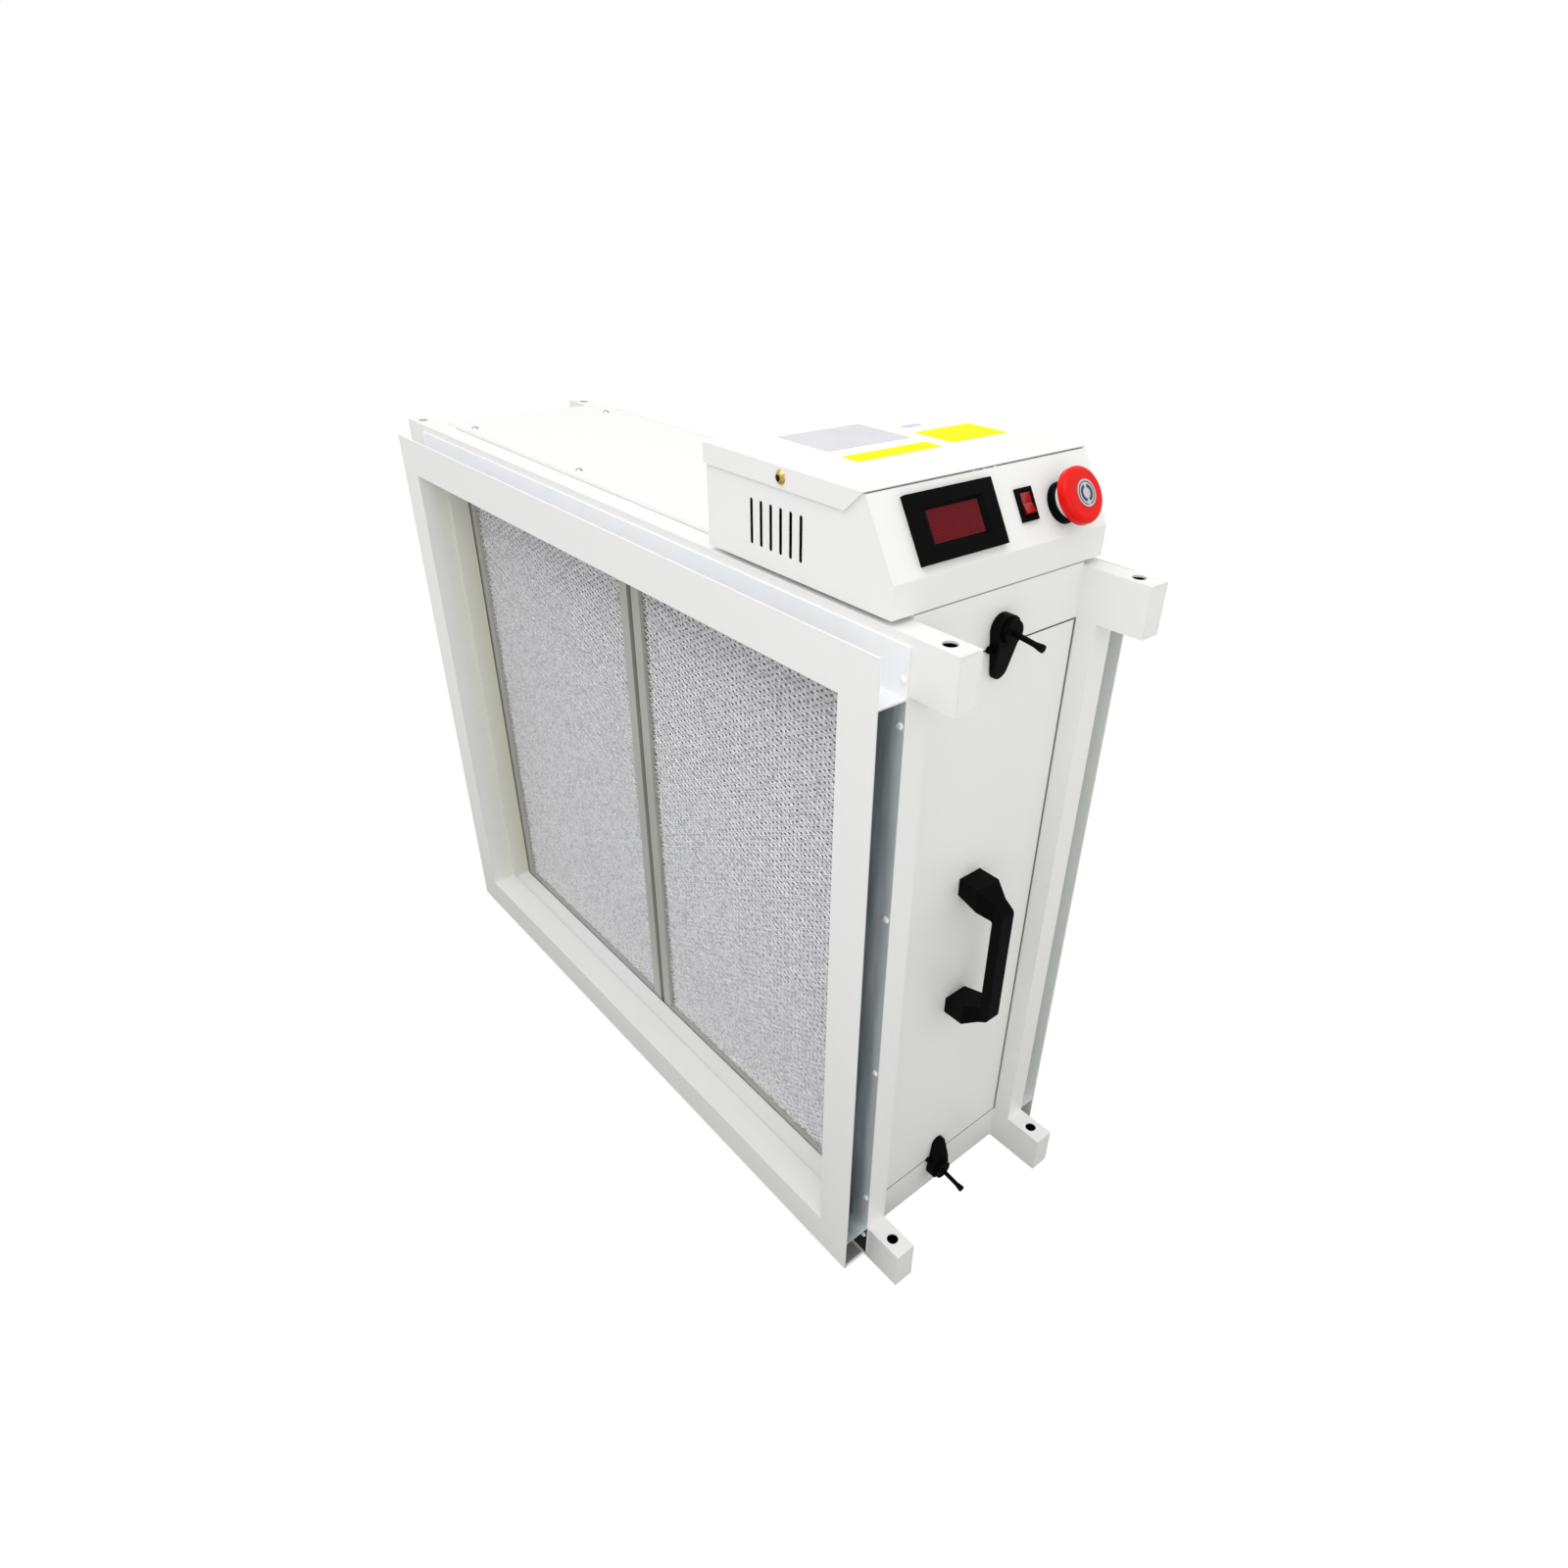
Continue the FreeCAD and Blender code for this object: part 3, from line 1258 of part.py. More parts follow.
# Stop button: a grooved collar and barrel in the slope, a sliding plunger
# with a pale skirt, and a mushroom head that twists on it. The head has a
# plain disc on its face.
bore = "Size.stop_plunger / 2 + Size.stop_float"
foot = "Size.stop_barrel_depth"
edge = "Size.stop_collar / 2"
collar = turned(
    "stop_collar_body",
    [
        (bore, "0"),
        ("Size.stop_barrel / 2", "0"),
        ("Size.stop_barrel / 2", foot),
        (edge, foot),
        (edge, f"{foot} + Size.stop_groove_low"),
        (f"{edge} - Size.stop_groove", f"{foot} + Size.stop_groove_low"),
        (f"{edge} - Size.stop_groove", f"{foot} + Size.stop_groove_high"),
        (edge, f"{foot} + Size.stop_groove_high"),
        (edge, f"{foot} + Size.stop_collar_rise - Size.stop_collar_edge"),
        (f"{edge} - Size.stop_collar_edge", f"{foot} + Size.stop_collar_rise"),
        ("Size.stop_well / 2", f"{foot} + Size.stop_collar_rise"),
        ("Size.stop_well / 2", f"{foot} + Size.stop_float"),
        (bore, f"{foot} + Size.stop_float"),
    ],
    ("-Size.stop_up", "At.stop_y", "-Size.stop_barrel_depth"),
)
keep(on_slope(bundle("stop_collar_placed", [collar])), "estop_base")

skirt_low = "Size.stop_plunger_low + Size.stop_skirt_low"
skirt_high = "Size.stop_plunger_low + Size.stop_head_low - Size.stop_float"
neck_top = "Size.stop_plunger_low + Size.stop_neck_rise"
neck = turned(
    "stop_neck",
    [
        ("0", "0"),
        ("Size.stop_plunger / 2", "0"),
        ("Size.stop_plunger / 2", skirt_low),
        ("Size.stop_skirt / 2", skirt_low),
        ("Size.stop_skirt / 2", skirt_high),
        ("Size.stop_plunger / 2", skirt_high),
        ("Size.stop_plunger / 2", neck_top),
        ("0", neck_top),
    ],
    ("-Size.stop_up", "At.stop_y", "-Size.stop_plunger_low"),
)
keep(on_slope(bundle("stop_neck_placed", [neck])), "estop_plunger")

cap_height = "Size.stop_head_top - Size.stop_head_low"
mushroom = turned(
    "stop_head_body",
    [
        (bore, "0"),
        ("Size.stop_head / 2 - Size.stop_head_flare", "0"),
        ("Size.stop_head / 2", "Size.stop_head_edge"),
        ("Size.stop_head / 2", cap_height),
        ("0", cap_height),
        ("0", "Size.stop_neck_rise - Size.stop_head_low"),
        (bore, "Size.stop_neck_rise - Size.stop_head_low"),
    ],
    ("-Size.stop_up", "At.stop_y", "Size.stop_head_low"),
)
rim = number(size, "stop_head") / 2


def head_rim(edge):
    box_of = edge.BoundBox
    crest = number(size, "stop_head_top") - number(size, "stop_head_low")
    return box_of.XLength > 1.9 * rim and abs(box_of.ZMin - crest) < 0.01 and box_of.ZLength < 0.01


round_edges(mushroom, "Size.stop_head_round", head_rim)
keep(on_slope(bundle("stop_head_placed", [mushroom])), "estop_head")

disc = rod(
    "stop_disc_face",
    ("-Size.stop_up", "At.stop_y", "Size.stop_head_top"),
    "Size.stop_disc",
    "Size.stop_disc_thick",
)
keep(on_slope(bundle("stop_disc_placed", [disc])), "estop_disc")

doc.recompute()
faults = []
for piece in doc.Objects:
    if any(word in ("Invalid", "Error") for word in piece.State):
        faults.append(f"{piece.Name}: {piece.State}")
for piece in parts:
    if piece.Shape.isNull() or not piece.Shape.isValid() or not piece.Shape.Solids:
        faults.append(f"{piece.Label}: no sound shape")
if faults:
    raise SystemExit("\n".join(faults))

os.makedirs("parts", exist_ok=True)
for piece in parts:
    piece.Shape.exportStep(os.path.join("parts", piece.Label + ".step"))
print(len(parts), "sub-parts written")
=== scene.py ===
import json
import math

import bmesh
import bpy
from mathutils import Matrix, Vector


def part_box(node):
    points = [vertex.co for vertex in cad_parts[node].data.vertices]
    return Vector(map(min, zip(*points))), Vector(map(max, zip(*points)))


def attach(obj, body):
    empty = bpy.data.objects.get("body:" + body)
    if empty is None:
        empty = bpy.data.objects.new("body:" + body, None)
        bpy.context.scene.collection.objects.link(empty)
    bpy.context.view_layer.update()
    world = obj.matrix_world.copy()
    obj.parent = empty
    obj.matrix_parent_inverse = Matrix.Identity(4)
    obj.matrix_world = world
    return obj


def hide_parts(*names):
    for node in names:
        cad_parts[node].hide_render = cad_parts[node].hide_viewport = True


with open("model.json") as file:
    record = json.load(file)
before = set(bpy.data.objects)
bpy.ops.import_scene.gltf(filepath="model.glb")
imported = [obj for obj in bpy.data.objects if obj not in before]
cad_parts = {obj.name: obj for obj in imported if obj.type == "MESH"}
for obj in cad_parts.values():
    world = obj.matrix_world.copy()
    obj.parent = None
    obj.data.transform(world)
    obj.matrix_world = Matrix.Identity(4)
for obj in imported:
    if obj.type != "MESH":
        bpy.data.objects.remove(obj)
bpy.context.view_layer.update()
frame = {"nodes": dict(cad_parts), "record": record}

bl_info = {
    "name": "Electrostatic filter unit",
    "version": (1, 0, 0),
    "blender": (4, 5, 0),
    "location": "3D View > Sidebar > Filter Unit",
    "description": "Finishes, mesh panels, labels and studio for the duct filter unit",
    "category": "Object",
}


# Values a user would change


class FILTER_PG_finishes(bpy.types.PropertyGroup):
    """Colours of the unit's finishes."""

    enamel: bpy.props.FloatVectorProperty(
        name="White enamel",
        description="Powder coat of the casing, the collars and the power box",
        subtype="COLOR",
        size=3,
        default=(0.87, 0.87, 0.85),
    )
    zinc: bpy.props.FloatVectorProperty(
        name="Bare zinc",
        description="Galvanised sheet inside the collar channels",
        subtype="COLOR",
        size=3,
        default=(0.50, 0.56, 0.58),
    )
    aluminium: bpy.props.FloatVectorProperty(
        name="Aluminium",
        description="Mesh, prefilter frames and cells",
        subtype="COLOR",
        size=3,
        default=(0.73, 0.73, 0.745),
    )
    frame: bpy.props.FloatVectorProperty(
        name="Prefilter frames",
        description="Dull aluminium of the prefilter frames",
        subtype="COLOR",
        size=3,
        default=(0.50, 0.50, 0.46),
    )
    black: bpy.props.FloatVectorProperty(
        name="Black plastic",
        description="Handle, latches and bezels",
        subtype="COLOR",
        size=3,
        default=(0.002, 0.002, 0.002),
    )
    red: bpy.props.FloatVectorProperty(
        name="Red plastic",
        description="Head of the stop button",
        subtype="COLOR",
        size=3,
        default=(0.80, 0.008, 0.006),
    )
    display: bpy.props.FloatVectorProperty(
        name="Display window",
        description="Dark red window of the meter",
        subtype="COLOR",
        size=3,
        default=(0.13, 0.004, 0.009),
    )
    yellow: bpy.props.FloatVectorProperty(
        name="Yellow label",
        description="Plain colour fields on the lid",
        subtype="COLOR",
        size=3,
        default=(0.90, 0.88, 0.004),
    )
    brass: bpy.props.FloatVectorProperty(
        name="Brass",
        description="Lid screws",
        subtype="COLOR",
        size=3,
        default=(0.60, 0.42, 0.14),
    )
    edge: bpy.props.FloatProperty(
        name="Edge softness",
        description="Width of the rounding on folded and moulded edges",
        default=0.0006,
        subtype="DISTANCE",
        unit="LENGTH",
    )


class FILTER_PG_sizes(bpy.types.PropertyGroup):
    """Sizes of the pieces that are added to the casing."""

    diamond_width: bpy.props.FloatProperty(
        name="Diamond width",
        description="Pitch of the mesh across the panel",
        default=0.0100,
        subtype="DISTANCE",
        unit="LENGTH",
    )
    diamond_height: bpy.props.FloatProperty(
        name="Diamond height",
        description="Pitch of the mesh up the panel",
        default=0.0054,
        subtype="DISTANCE",
        unit="LENGTH",
    )
    strand: bpy.props.FloatProperty(
        name="Strand width",
        description="Half the width of a mesh strand",
        default=0.00072,
        subtype="DISTANCE",
        unit="LENGTH",
    )
    strand_rise: bpy.props.FloatProperty(
        name="Strand rise",
        description="How far the crest of a strand stands off its plane",
        default=0.0006,
        subtype="DISTANCE",
        unit="LENGTH",
    )
    crumple: bpy.props.FloatProperty(
        name="Mesh crumple",
        description="How far the crushed mesh strays from an even grid",
        default=0.0024,
        subtype="DISTANCE",
        unit="LENGTH",
    )
    label_thick: bpy.props.FloatProperty(
        name="Label thickness",
        description="Thickness of the plain fields on the lid",
        default=0.0003,
        subtype="DISTANCE",
        unit="LENGTH",
    )


class FILTER_PG_studio(bpy.types.PropertyGroup):
    """Camera and lights."""

    lens: bpy.props.FloatProperty(
        name="Lens",
        description="Focal length for a 36 mm wide sensor",
        default=22.88,
        unit="CAMERA",
    )
    camera_at: bpy.props.FloatVectorProperty(
        name="Camera position",
        description="Where the photograph was taken from",
        default=(0.7180, -0.4931, 0.8054),
        subtype="TRANSLATION",
        unit="LENGTH",
    )
    sky: bpy.props.FloatProperty(
        name="Sky strength",
        description="Even light from all round",
        default=0.86,
        min=0.0,
    )
    overhead: bpy.props.FloatProperty(
        name="Overhead lamp",
        description="Soft lamp above the unit",
        default=14.0,
        min=0.0,
        unit="POWER",
    )
    side: bpy.props.FloatProperty(
        name="Side lamp",
        description="Soft lamp on the door side",
        default=5.0,
        min=0.0,
        unit="POWER",
    )


# Shader nodes

PLAIN = (0.8, 0.8, 0.8, 1.0)
WHITE = (1.0, 1.0, 1.0, 1.0)


def feed(tree, socket, value):
    """Links a socket to another one, or sets it to a plain value."""
    if isinstance(value, bpy.types.NodeSocket):
        tree.links.new(value, socket)
    else:
        socket.default_value = value


def computed(tree, operation, value, limit):
    """The result of a math node on a socket and a limit."""
    node = tree.nodes.new("ShaderNodeMath")
    node.operation = operation
    feed(tree, node.inputs[0], value)
    feed(tree, node.inputs[1], limit)
    return node.outputs[0]


def within(tree, value, low, high):
    """A mask that is one between two values."""
    past = computed(tree, "GREATER_THAN", value, low)
    short = computed(tree, "LESS_THAN", value, high)
    return computed(tree, "MULTIPLY", past, short)


def ranged(tree, value, low, high, start=0.0, end=1.0):
    """A value that goes from a start to an end as a socket goes from low to high."""
    node = tree.nodes.new("ShaderNodeMapRange")
    settings = {"Value": value, "From Min": low, "From Max": high, "To Min": start, "To Max": end}
    for label, setting in settings.items():
        feed(tree, node.inputs[label], setting)
    return node.outputs["Result"]


def mixed(tree, factor, first, second, blend="MIX", kind="RGBA"):
    """The result of a mix of two sockets or plain values."""
    mix = tree.nodes.new("ShaderNodeMix")
    mix.data_type = kind
    mix.blend_type = blend
    for label, value in (("Factor", factor), ("A", first), ("B", second)):
        feed(tree, mix.inputs[label], value)
    return mix.outputs["Result"]


def object_coords(tree):
    """The place of each point in the object's own frame."""
    return tree.nodes.new("ShaderNodeTexCoord").outputs["Object"]


def object_axes(tree):
    """The same place as separate X, Y and Z."""
    split = tree.nodes.new("ShaderNodeSeparateXYZ")
    tree.links.new(object_coords(tree), split.inputs["Vector"])
    return split.outputs


def noise(tree, coords, scale, detail, roughness=0.5):
    """The value of a noise texture."""
    node = tree.nodes.new("ShaderNodeTexNoise")
    settings = {"Vector": coords, "Scale": scale, "Detail": detail, "Roughness": roughness}
    for label, setting in settings.items():
        feed(tree, node.inputs[label], setting)
    return node.outputs["Fac"]


def ramp(tree, value, *stops):
    """The colour that a socket picks between stops, each a position and a colour."""
    node = tree.nodes.new("ShaderNodeValToRGB")
    elements = node.color_ramp.elements
    for element, (position, colour) in ((elements[0], stops[0]), (elements[1], stops[-1])):
        element.position = position
        element.color = colour
    for position, colour in stops[1:-1]:
        elements.new(position).color = colour
    tree.links.new(value, node.inputs["Fac"])
    return node.outputs["Color"]


def extent(node, axis):
    """How far a piece of the casing reaches along an axis."""
    low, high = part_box(node)
    index = "XYZ".index(axis)
    return low[index], high[index]


# Shader groups

GROUPS = {}


def new_group(name, inputs, outputs):
    """An empty shader group with its inputs' defaults and its outputs' names."""
    group = bpy.data.node_groups.new(name, "ShaderNodeTree")
    for label, default in inputs.items():
        kind = "NodeSocketColor" if isinstance(default, tuple) else "NodeSocketFloat"
        socket = group.interface.new_socket(label, in_out="INPUT", socket_type=kind)
        socket.default_value = default
    for label in outputs:
        kind = "NodeSocketColor" if label == "Color" else "NodeSocketFloat"
        group.interface.new_socket(label, in_out="OUTPUT", socket_type=kind)
    GROUPS[name] = group
    entry = group.nodes.new("NodeGroupInput").outputs
    return group, entry, group.nodes.new("NodeGroupOutput").inputs


def mottle_group():
    """Slow change of tone over a sheet, with faint soiling in patches."""
    inputs = {"Clean": PLAIN, "Soiled": (0.7, 0.7, 0.66, 1.0), "Patch Scale": 7.0, "Amount": 0.3}
    group, entry, result = new_group("Sheet mottle", inputs, ["Color"])
    patches = noise(group, object_coords(group), entry["Patch Scale"], 6.0, 0.62)
    amount = computed(group, "MULTIPLY", ranged(group, patches, 0.42, 0.72), entry["Amount"])
    colour = mixed(group, amount, entry["Clean"], entry["Soiled"])
    group.links.new(colour, result["Color"])


def grain_group():
    """Fine relief of a coated or moulded surface."""
    inputs = {"Grain Scale": 900.0, "Broad Scale": 40.0, "Broad Share": 0.4}
    group, entry, result = new_group("Fine grain", inputs, ["Height"])
    coords = object_coords(group)
    fine = noise(group, coords, entry["Grain Scale"], 3.0)
    broad = noise(group, coords, entry["Broad Scale"], 3.0)
    height = mixed(group, entry["Broad Share"], fine, broad, kind="FLOAT")
    group.links.new(height, result["Height"])


def spangle_group():
    """Crystal facets of a zinc coat: a tone and a height for each."""
    inputs = {"Facet Scale": 160.0, "Tone Low": 0.8}
    group, entry, result = new_group("Zinc spangle", inputs, ["Tone", "Height"])
    cells = group.nodes.new("ShaderNodeTexVoronoi")
    group.links.new(object_coords(group), cells.inputs["Vector"])
    group.links.new(entry["Facet Scale"], cells.inputs["Scale"])
    split = group.nodes.new("ShaderNodeSeparateColor")
    group.links.new(cells.outputs["Color"], split.inputs["Color"])
    tone = ranged(group, split.outputs["Red"], 0.0, 1.0, entry["Tone Low"])
    group.links.new(tone, result["Tone"])
    group.links.new(split.outputs["Green"], result["Height"])


def paint_group(name, label, colour, mask, blend="MIX"):
    """A colour laid over a coat wherever a mask says."""
    group, entry, result = new_group(name, {"Coat": PLAIN, label: colour}, ["Color"])
    painted = mixed(group, mask(group), entry["Coat"], entry[label], blend)
    group.links.new(painted, result["Color"])


def inside_tubes(tree):
    """The inner faces of the long bars' tubes, which only their end holes show."""
    place = object_axes(tree)
    wall = 0.00145
    masks = []
    for axis, bars in (
        ("Y", ("bar_front_top", "bar_rear_top")),
        ("Z", ("bar_front_bottom", "bar_front_top")),
    ):
        spans = []
        for bar in bars:
            low, high = extent(bar, axis)
            spans.append(within(tree, place[axis], low + wall, high - wall))
        masks.append(computed(tree, "MAXIMUM", spans[0], spans[1]))
    return computed(tree, "MULTIPLY", masks[0], masks[1])


def seam_shadow_line(tree):
    """The upper edge of the top panel's end, between the box and the rail, where the gap's shadow
    is painted as a thin dark line.
    """
    place = object_axes(tree)
    seam_depth, seam_height = 0.0008, 0.0010
    past = computed(tree, "GREATER_THAN", place["X"], extent("top_panel", "X")[1] - seam_depth)
    upper = computed(tree, "GREATER_THAN", place["Z"], extent("top_panel", "Z")[1] - seam_height)
    return computed(tree, "MULTIPLY", past, upper)


def duct_wall(tree):
    """The left wall of the duct, darkened by dust and painted shade that reach full strength a
    little way in.
    """
    place = object_axes(tree)
    wall = extent("collar_front_left", "X")[1]
    lip = extent("collar_front_left", "Y")[0]
    low = extent("collar_front_bottom", "Z")[1]
    high = extent("collar_front_top", "Z")[0]
    slack, frame_reach, inset = 0.0005, 0.025, 0.0002
    start_depth, full_depth = 0.006, 0.042
    beside = within(tree, place["X"], wall - slack, wall + frame_reach)
    upright = within(tree, place["Z"], low + inset, high - inset)
    beside = computed(tree, "MULTIPLY", beside, upright)
    deep = ranged(tree, place["Y"], lip + start_depth, lip + full_depth)
    return computed(tree, "MULTIPLY", beside, deep)


def door_gap_shadow(tree):
    """The narrow ring round the service door, where the gap's shadow is painted dark."""
    place = object_axes(tree)
    outer, inner, proud = 0.0013, -0.0001, 0.0009
    areas = []
    for margin in (outer, inner):
        spans = []
        for axis in ("Y", "Z"):
            low, high = extent("door_panel", axis)
            spans.append(within(tree, place[axis], low - margin, high + margin))
        areas.append(computed(tree, "MULTIPLY", spans[0], spans[1]))
    ring = computed(tree, "SUBTRACT", areas[0], areas[1])
    low, high = extent("door_panel", "X")
    return computed(tree, "MULTIPLY", ring, within(tree, place["X"], low, high + proud))


def behind_vents(tree):
    """The inside of the power box, a little way in from its faces."""
    place = object_axes(tree)
    insets = (("X", 0.02, 0.06), ("Y", 0.0002, 0.0002), ("Z", 0.006, 0.003))
    inside = None
    for axis, near, far in insets:
        low, high = extent("power_box", axis)
        span = within(tree, place[axis], low + near, high - far)
        inside = span if inside is None else computed(tree, "MULTIPLY", inside, span)
    return inside


# Each row: a group's name, its colour's label, the colour, its mask and, where given, its blend.
# The tube insides, the seam, the door gap and the vents get painted shade; the duct wall gets dust
# with painted shade.
PAINTED = (
    ("Tube hollow", "Shadow", (0.01, 0.01, 0.01, 1.0), inside_tubes),
    ("Panel seam", "Seam", (0.30, 0.29, 0.27, 1.0), seam_shadow_line),
    ("Duct grime", "Dust", (0.78, 0.79, 0.67, 1.0), duct_wall, "MULTIPLY"),
    ("Door gap", "Dirt", (0.32, 0.31, 0.26, 1.0), door_gap_shadow),
    ("Vent shadow", "Shadow", (0.004, 0.004, 0.004, 1.0), behind_vents),
)


def socket_group():
    """The dark driver socket in the middle of each lid screw's head."""
    inputs = {
        "Metal": (0.6, 0.4, 0.14, 1.0),
        "Shadow": (0.02, 0.012, 0.006, 1.0),
        "Radius": 0.0021,
    }
    group, entry, result = new_group("Screw socket", inputs, ["Color"])
    place = object_axes(group)
    squares = []
    for axis in ("X", "Z"):
        centre = sum(extent("lid_screws", axis)) / 2
        away = computed(group, "SUBTRACT", place[axis], centre)
        squares.append(computed(group, "MULTIPLY", away, away))
    distance = computed(group, "ADD", squares[0], squares[1])
    limit = computed(group, "MULTIPLY", entry["Radius"], entry["Radius"])
    core = computed(group, "LESS_THAN", distance, limit)
    group.links.new(mixed(group, core, entry["Metal"], entry["Shadow"]), result["Color"])


def channel_group():
    """Bare zinc inside the outward-open channels of the collars, coat elsewhere. The zinc carries
    painted light and shade: lit on the top channels, shaded deep in the side channels of the front
    collar and brightening to painted highlights towards their open edge and back lip, lighter all
    over in the rear collar, and painted shadow under the front bottom channels.
    """
    inputs = {"Coat": PLAIN, "Zinc": (0.5, 0.55, 0.55, 1.0)}
    group, entry, result = new_group("Zinc channels", inputs, ["Color", "Mask"])
    place = object_axes(group)
    web_x, edge_x = extent("collar_front_right", "X")
    front = extent("collar_front_top", "Y")
    rear = extent("collar_rear_top", "Y")
    web_high = extent("collar_front_top", "Z")[0]
    web_low = extent("collar_front_bottom", "Z")[1]
    sheet = 0.0015
    skin = sheet * 0.6
    upright_streaks = (1.0, 1.0, 0.12)
    reach_share, streak_share, metal_share = 0.7, 0.7, 0.25
    # Copies of the zinc in painted light: lit on the top channels, lighter all over in the rear
    # collar, and dark as shadow under the front bottom channels.
    lit_zinc = (0.95, 0.96, 0.97, 1.0)
    lit_rear_zinc = (0.85, 0.87, 0.84, 1.0)
    deep_shadow = (0.02, 0.02, 0.02, 1.0)

    def combined(operation, value, limit):
        return computed(group, operation, value, limit)

    away = combined("ABSOLUTE", place["X"], 0.0)
    above = combined("GREATER_THAN", place["Z"], web_high + skin)
    below = combined("LESS_THAN", place["Z"], web_low - skin)
    beside = combined("GREATER_THAN", away, web_x + skin)
    outside = combined("MAXIMUM", beside, combined("MAXIMUM", above, below))
    in_front = within(group, place["Y"], front[0] + skin, front[1] - skin)
    in_rear = within(group, place["Y"], rear[0] + skin, rear[1] - skin)
    inside = combined("MULTIPLY", outside, combined("MAXIMUM", in_front, in_rear))

    stretch = group.nodes.new("ShaderNodeMapping")
    stretch.inputs["Scale"].default_value = upright_streaks
    group.links.new(object_coords(group), stretch.inputs["Vector"])
    streak = noise(group, stretch.outputs["Vector"], 70.0, 4.0)
    depth = ranged(group, place["Y"], front[0], front[1])
    reach = ranged(group, away, web_x + sheet, edge_x)
    across = combined("MULTIPLY", depth, 1.0 - reach_share)
    across = combined("ADD", across, combined("MULTIPLY", reach, reach_share))
    shift = combined("MULTIPLY", combined("SUBTRACT", streak, 0.5), streak_share)
    # Painted shade deep in the front collar's side channels, turning to painted highlights towards
    # the open edge and the back lip, with streaks.
    shade = ramp(
        group,
        combined("ADD", across, shift),
        (0.08, (0.15, 0.18, 0.20, 1.0)),
        (0.45, (0.50, 0.55, 0.56, 1.0)),
        (0.95, (1.65, 1.55, 1.5, 1.0)),
    )
    side = mixed(group, 1.0, entry["Zinc"], shade, "MULTIPLY")
    side = mixed(group, in_rear, side, lit_rear_zinc)
    bare = mixed(group, above, side, lit_zinc)
    under = mixed(group, in_rear, deep_shadow, lit_rear_zinc)
    bare = mixed(group, below, bare, under)
    group.links.new(mixed(group, inside, entry["Coat"], bare), result["Color"])
    group.links.new(combined("MULTIPLY", inside, metal_share), result["Mask"])


def build_groups():
    """Makes each shared group once."""
    for build in (mottle_group, grain_group, spangle_group, socket_group, channel_group):
        build()
    for row in PAINTED:
        paint_group(*row)


# Materials

MATERIALS = {}


def place_group(tree, name, **values):
    """One of the shared groups in a material, with its own values or links."""
    node = tree.nodes.new("ShaderNodeGroup")
    node.node_tree = GROUPS[name]
    for label, value in values.items():
        feed(tree, node.inputs[label.replace("_", " ")], value)
    return node.outputs


def new_material(name, roughness, metallic=0.0, specular=0.5):
    """A material with one principled surface."""
    material = bpy.data.materials.new(name)
    material.use_nodes = True
    shader = material.node_tree.nodes["Principled BSDF"]
    shader.inputs["Roughness"].default_value = roughness
    shader.inputs["Metallic"].default_value = metallic
    shader.inputs["Specular IOR Level"].default_value = specular
    return material, material.node_tree, shader


def add_relief(tree, shader, height, distance, strength=1.0):
    """Feeds a height into the surface's normal."""
    bump = tree.nodes.new("ShaderNodeBump")
    bump.inputs["Strength"].default_value = strength
    bump.inputs["Distance"].default_value = distance
    tree.links.new(height, bump.inputs["Height"])
    tree.links.new(bump.outputs["Normal"], shader.inputs["Normal"])


def with_alpha(colour, share=1.0):
    """An opaque colour, a share as bright."""
    return tuple(channel * share for channel in colour) + (1.0,)


def mottled(tree, colour, soiled, patch_scale, amount):
    """A colour that turns to its soiled tone in patches."""
    sheet = place_group(
        tree,
        "Sheet mottle",
        Clean=with_alpha(colour),
        Soiled=soiled,
        Patch_Scale=patch_scale,
        Amount=amount,
    )
    return sheet["Color"]


def add_grain(tree, shader, scales, share, distance, strength):
    """Gives a surface its fine grain."""
    grain = place_group(
        tree, "Fine grain", Grain_Scale=scales[0], Broad_Scale=scales[1], Broad_Share=share
    )
    add_relief(tree, shader, grain["Height"], distance, strength)


def enamel_material(name, colour, extra=None, **values):
    """White powder coat, with painted shade in the door gap and dust with painted shade on the
    duct wall; a further group may bare parts of it or darken them with painted shade.
    """
    material, tree, shader = new_material(name, 0.34)
    soiled = (colour[0] * 0.95, colour[1] * 0.94, colour[2] * 0.91, 1.0)
    coat = mottled(tree, colour, soiled, 6.0, 0.22)
    add_grain(tree, shader, (700.0, 55.0), 0.35, 0.00012, 0.5)
    for dust_and_shade in ("Door gap", "Duct grime"):
        coat = place_group(tree, dust_and_shade, Coat=coat)["Color"]
    if extra is not None:
        painted = place_group(tree, extra, Coat=coat, **values)
        coat = painted["Color"]
        if "Mask" in painted:
            tree.links.new(painted["Mask"], shader.inputs["Metallic"])
    tree.links.new(coat, shader.inputs["Base Color"])
    return material


def metal_material(name, colour, roughness, spangle_scale=None, metallic=1.0):
    """Bare metal with a slow change of tone, and a fine grain or zinc facets."""
    material, tree, shader = new_material(name, roughness, metallic)
    tone = mottled(tree, colour, with_alpha(colour, 0.82), 11.0, 0.45)
    if spangle_scale is None:
        add_grain(tree, shader, (1200.0, 90.0), 0.3, 0.00008, 0.6)
    else:
        spangle = place_group(tree, "Zinc spangle", Facet_Scale=spangle_scale, Tone_Low=0.75)
        tone = mixed(tree, 1.0, tone, spangle["Tone"], "MULTIPLY")
        add_relief(tree, shader, spangle["Height"], 0.0001, 0.3)
    tree.links.new(tone, shader.inputs["Base Color"])
    return material


def screw_material(name, colour):
    """Brass with a dark driver socket."""
    material, tree, shader = new_material(name, 0.25, 1.0)
    head = place_group(tree, "Screw socket", Metal=with_alpha(colour))
    tree.links.new(head["Color"], shader.inputs["Base Color"])
    return material


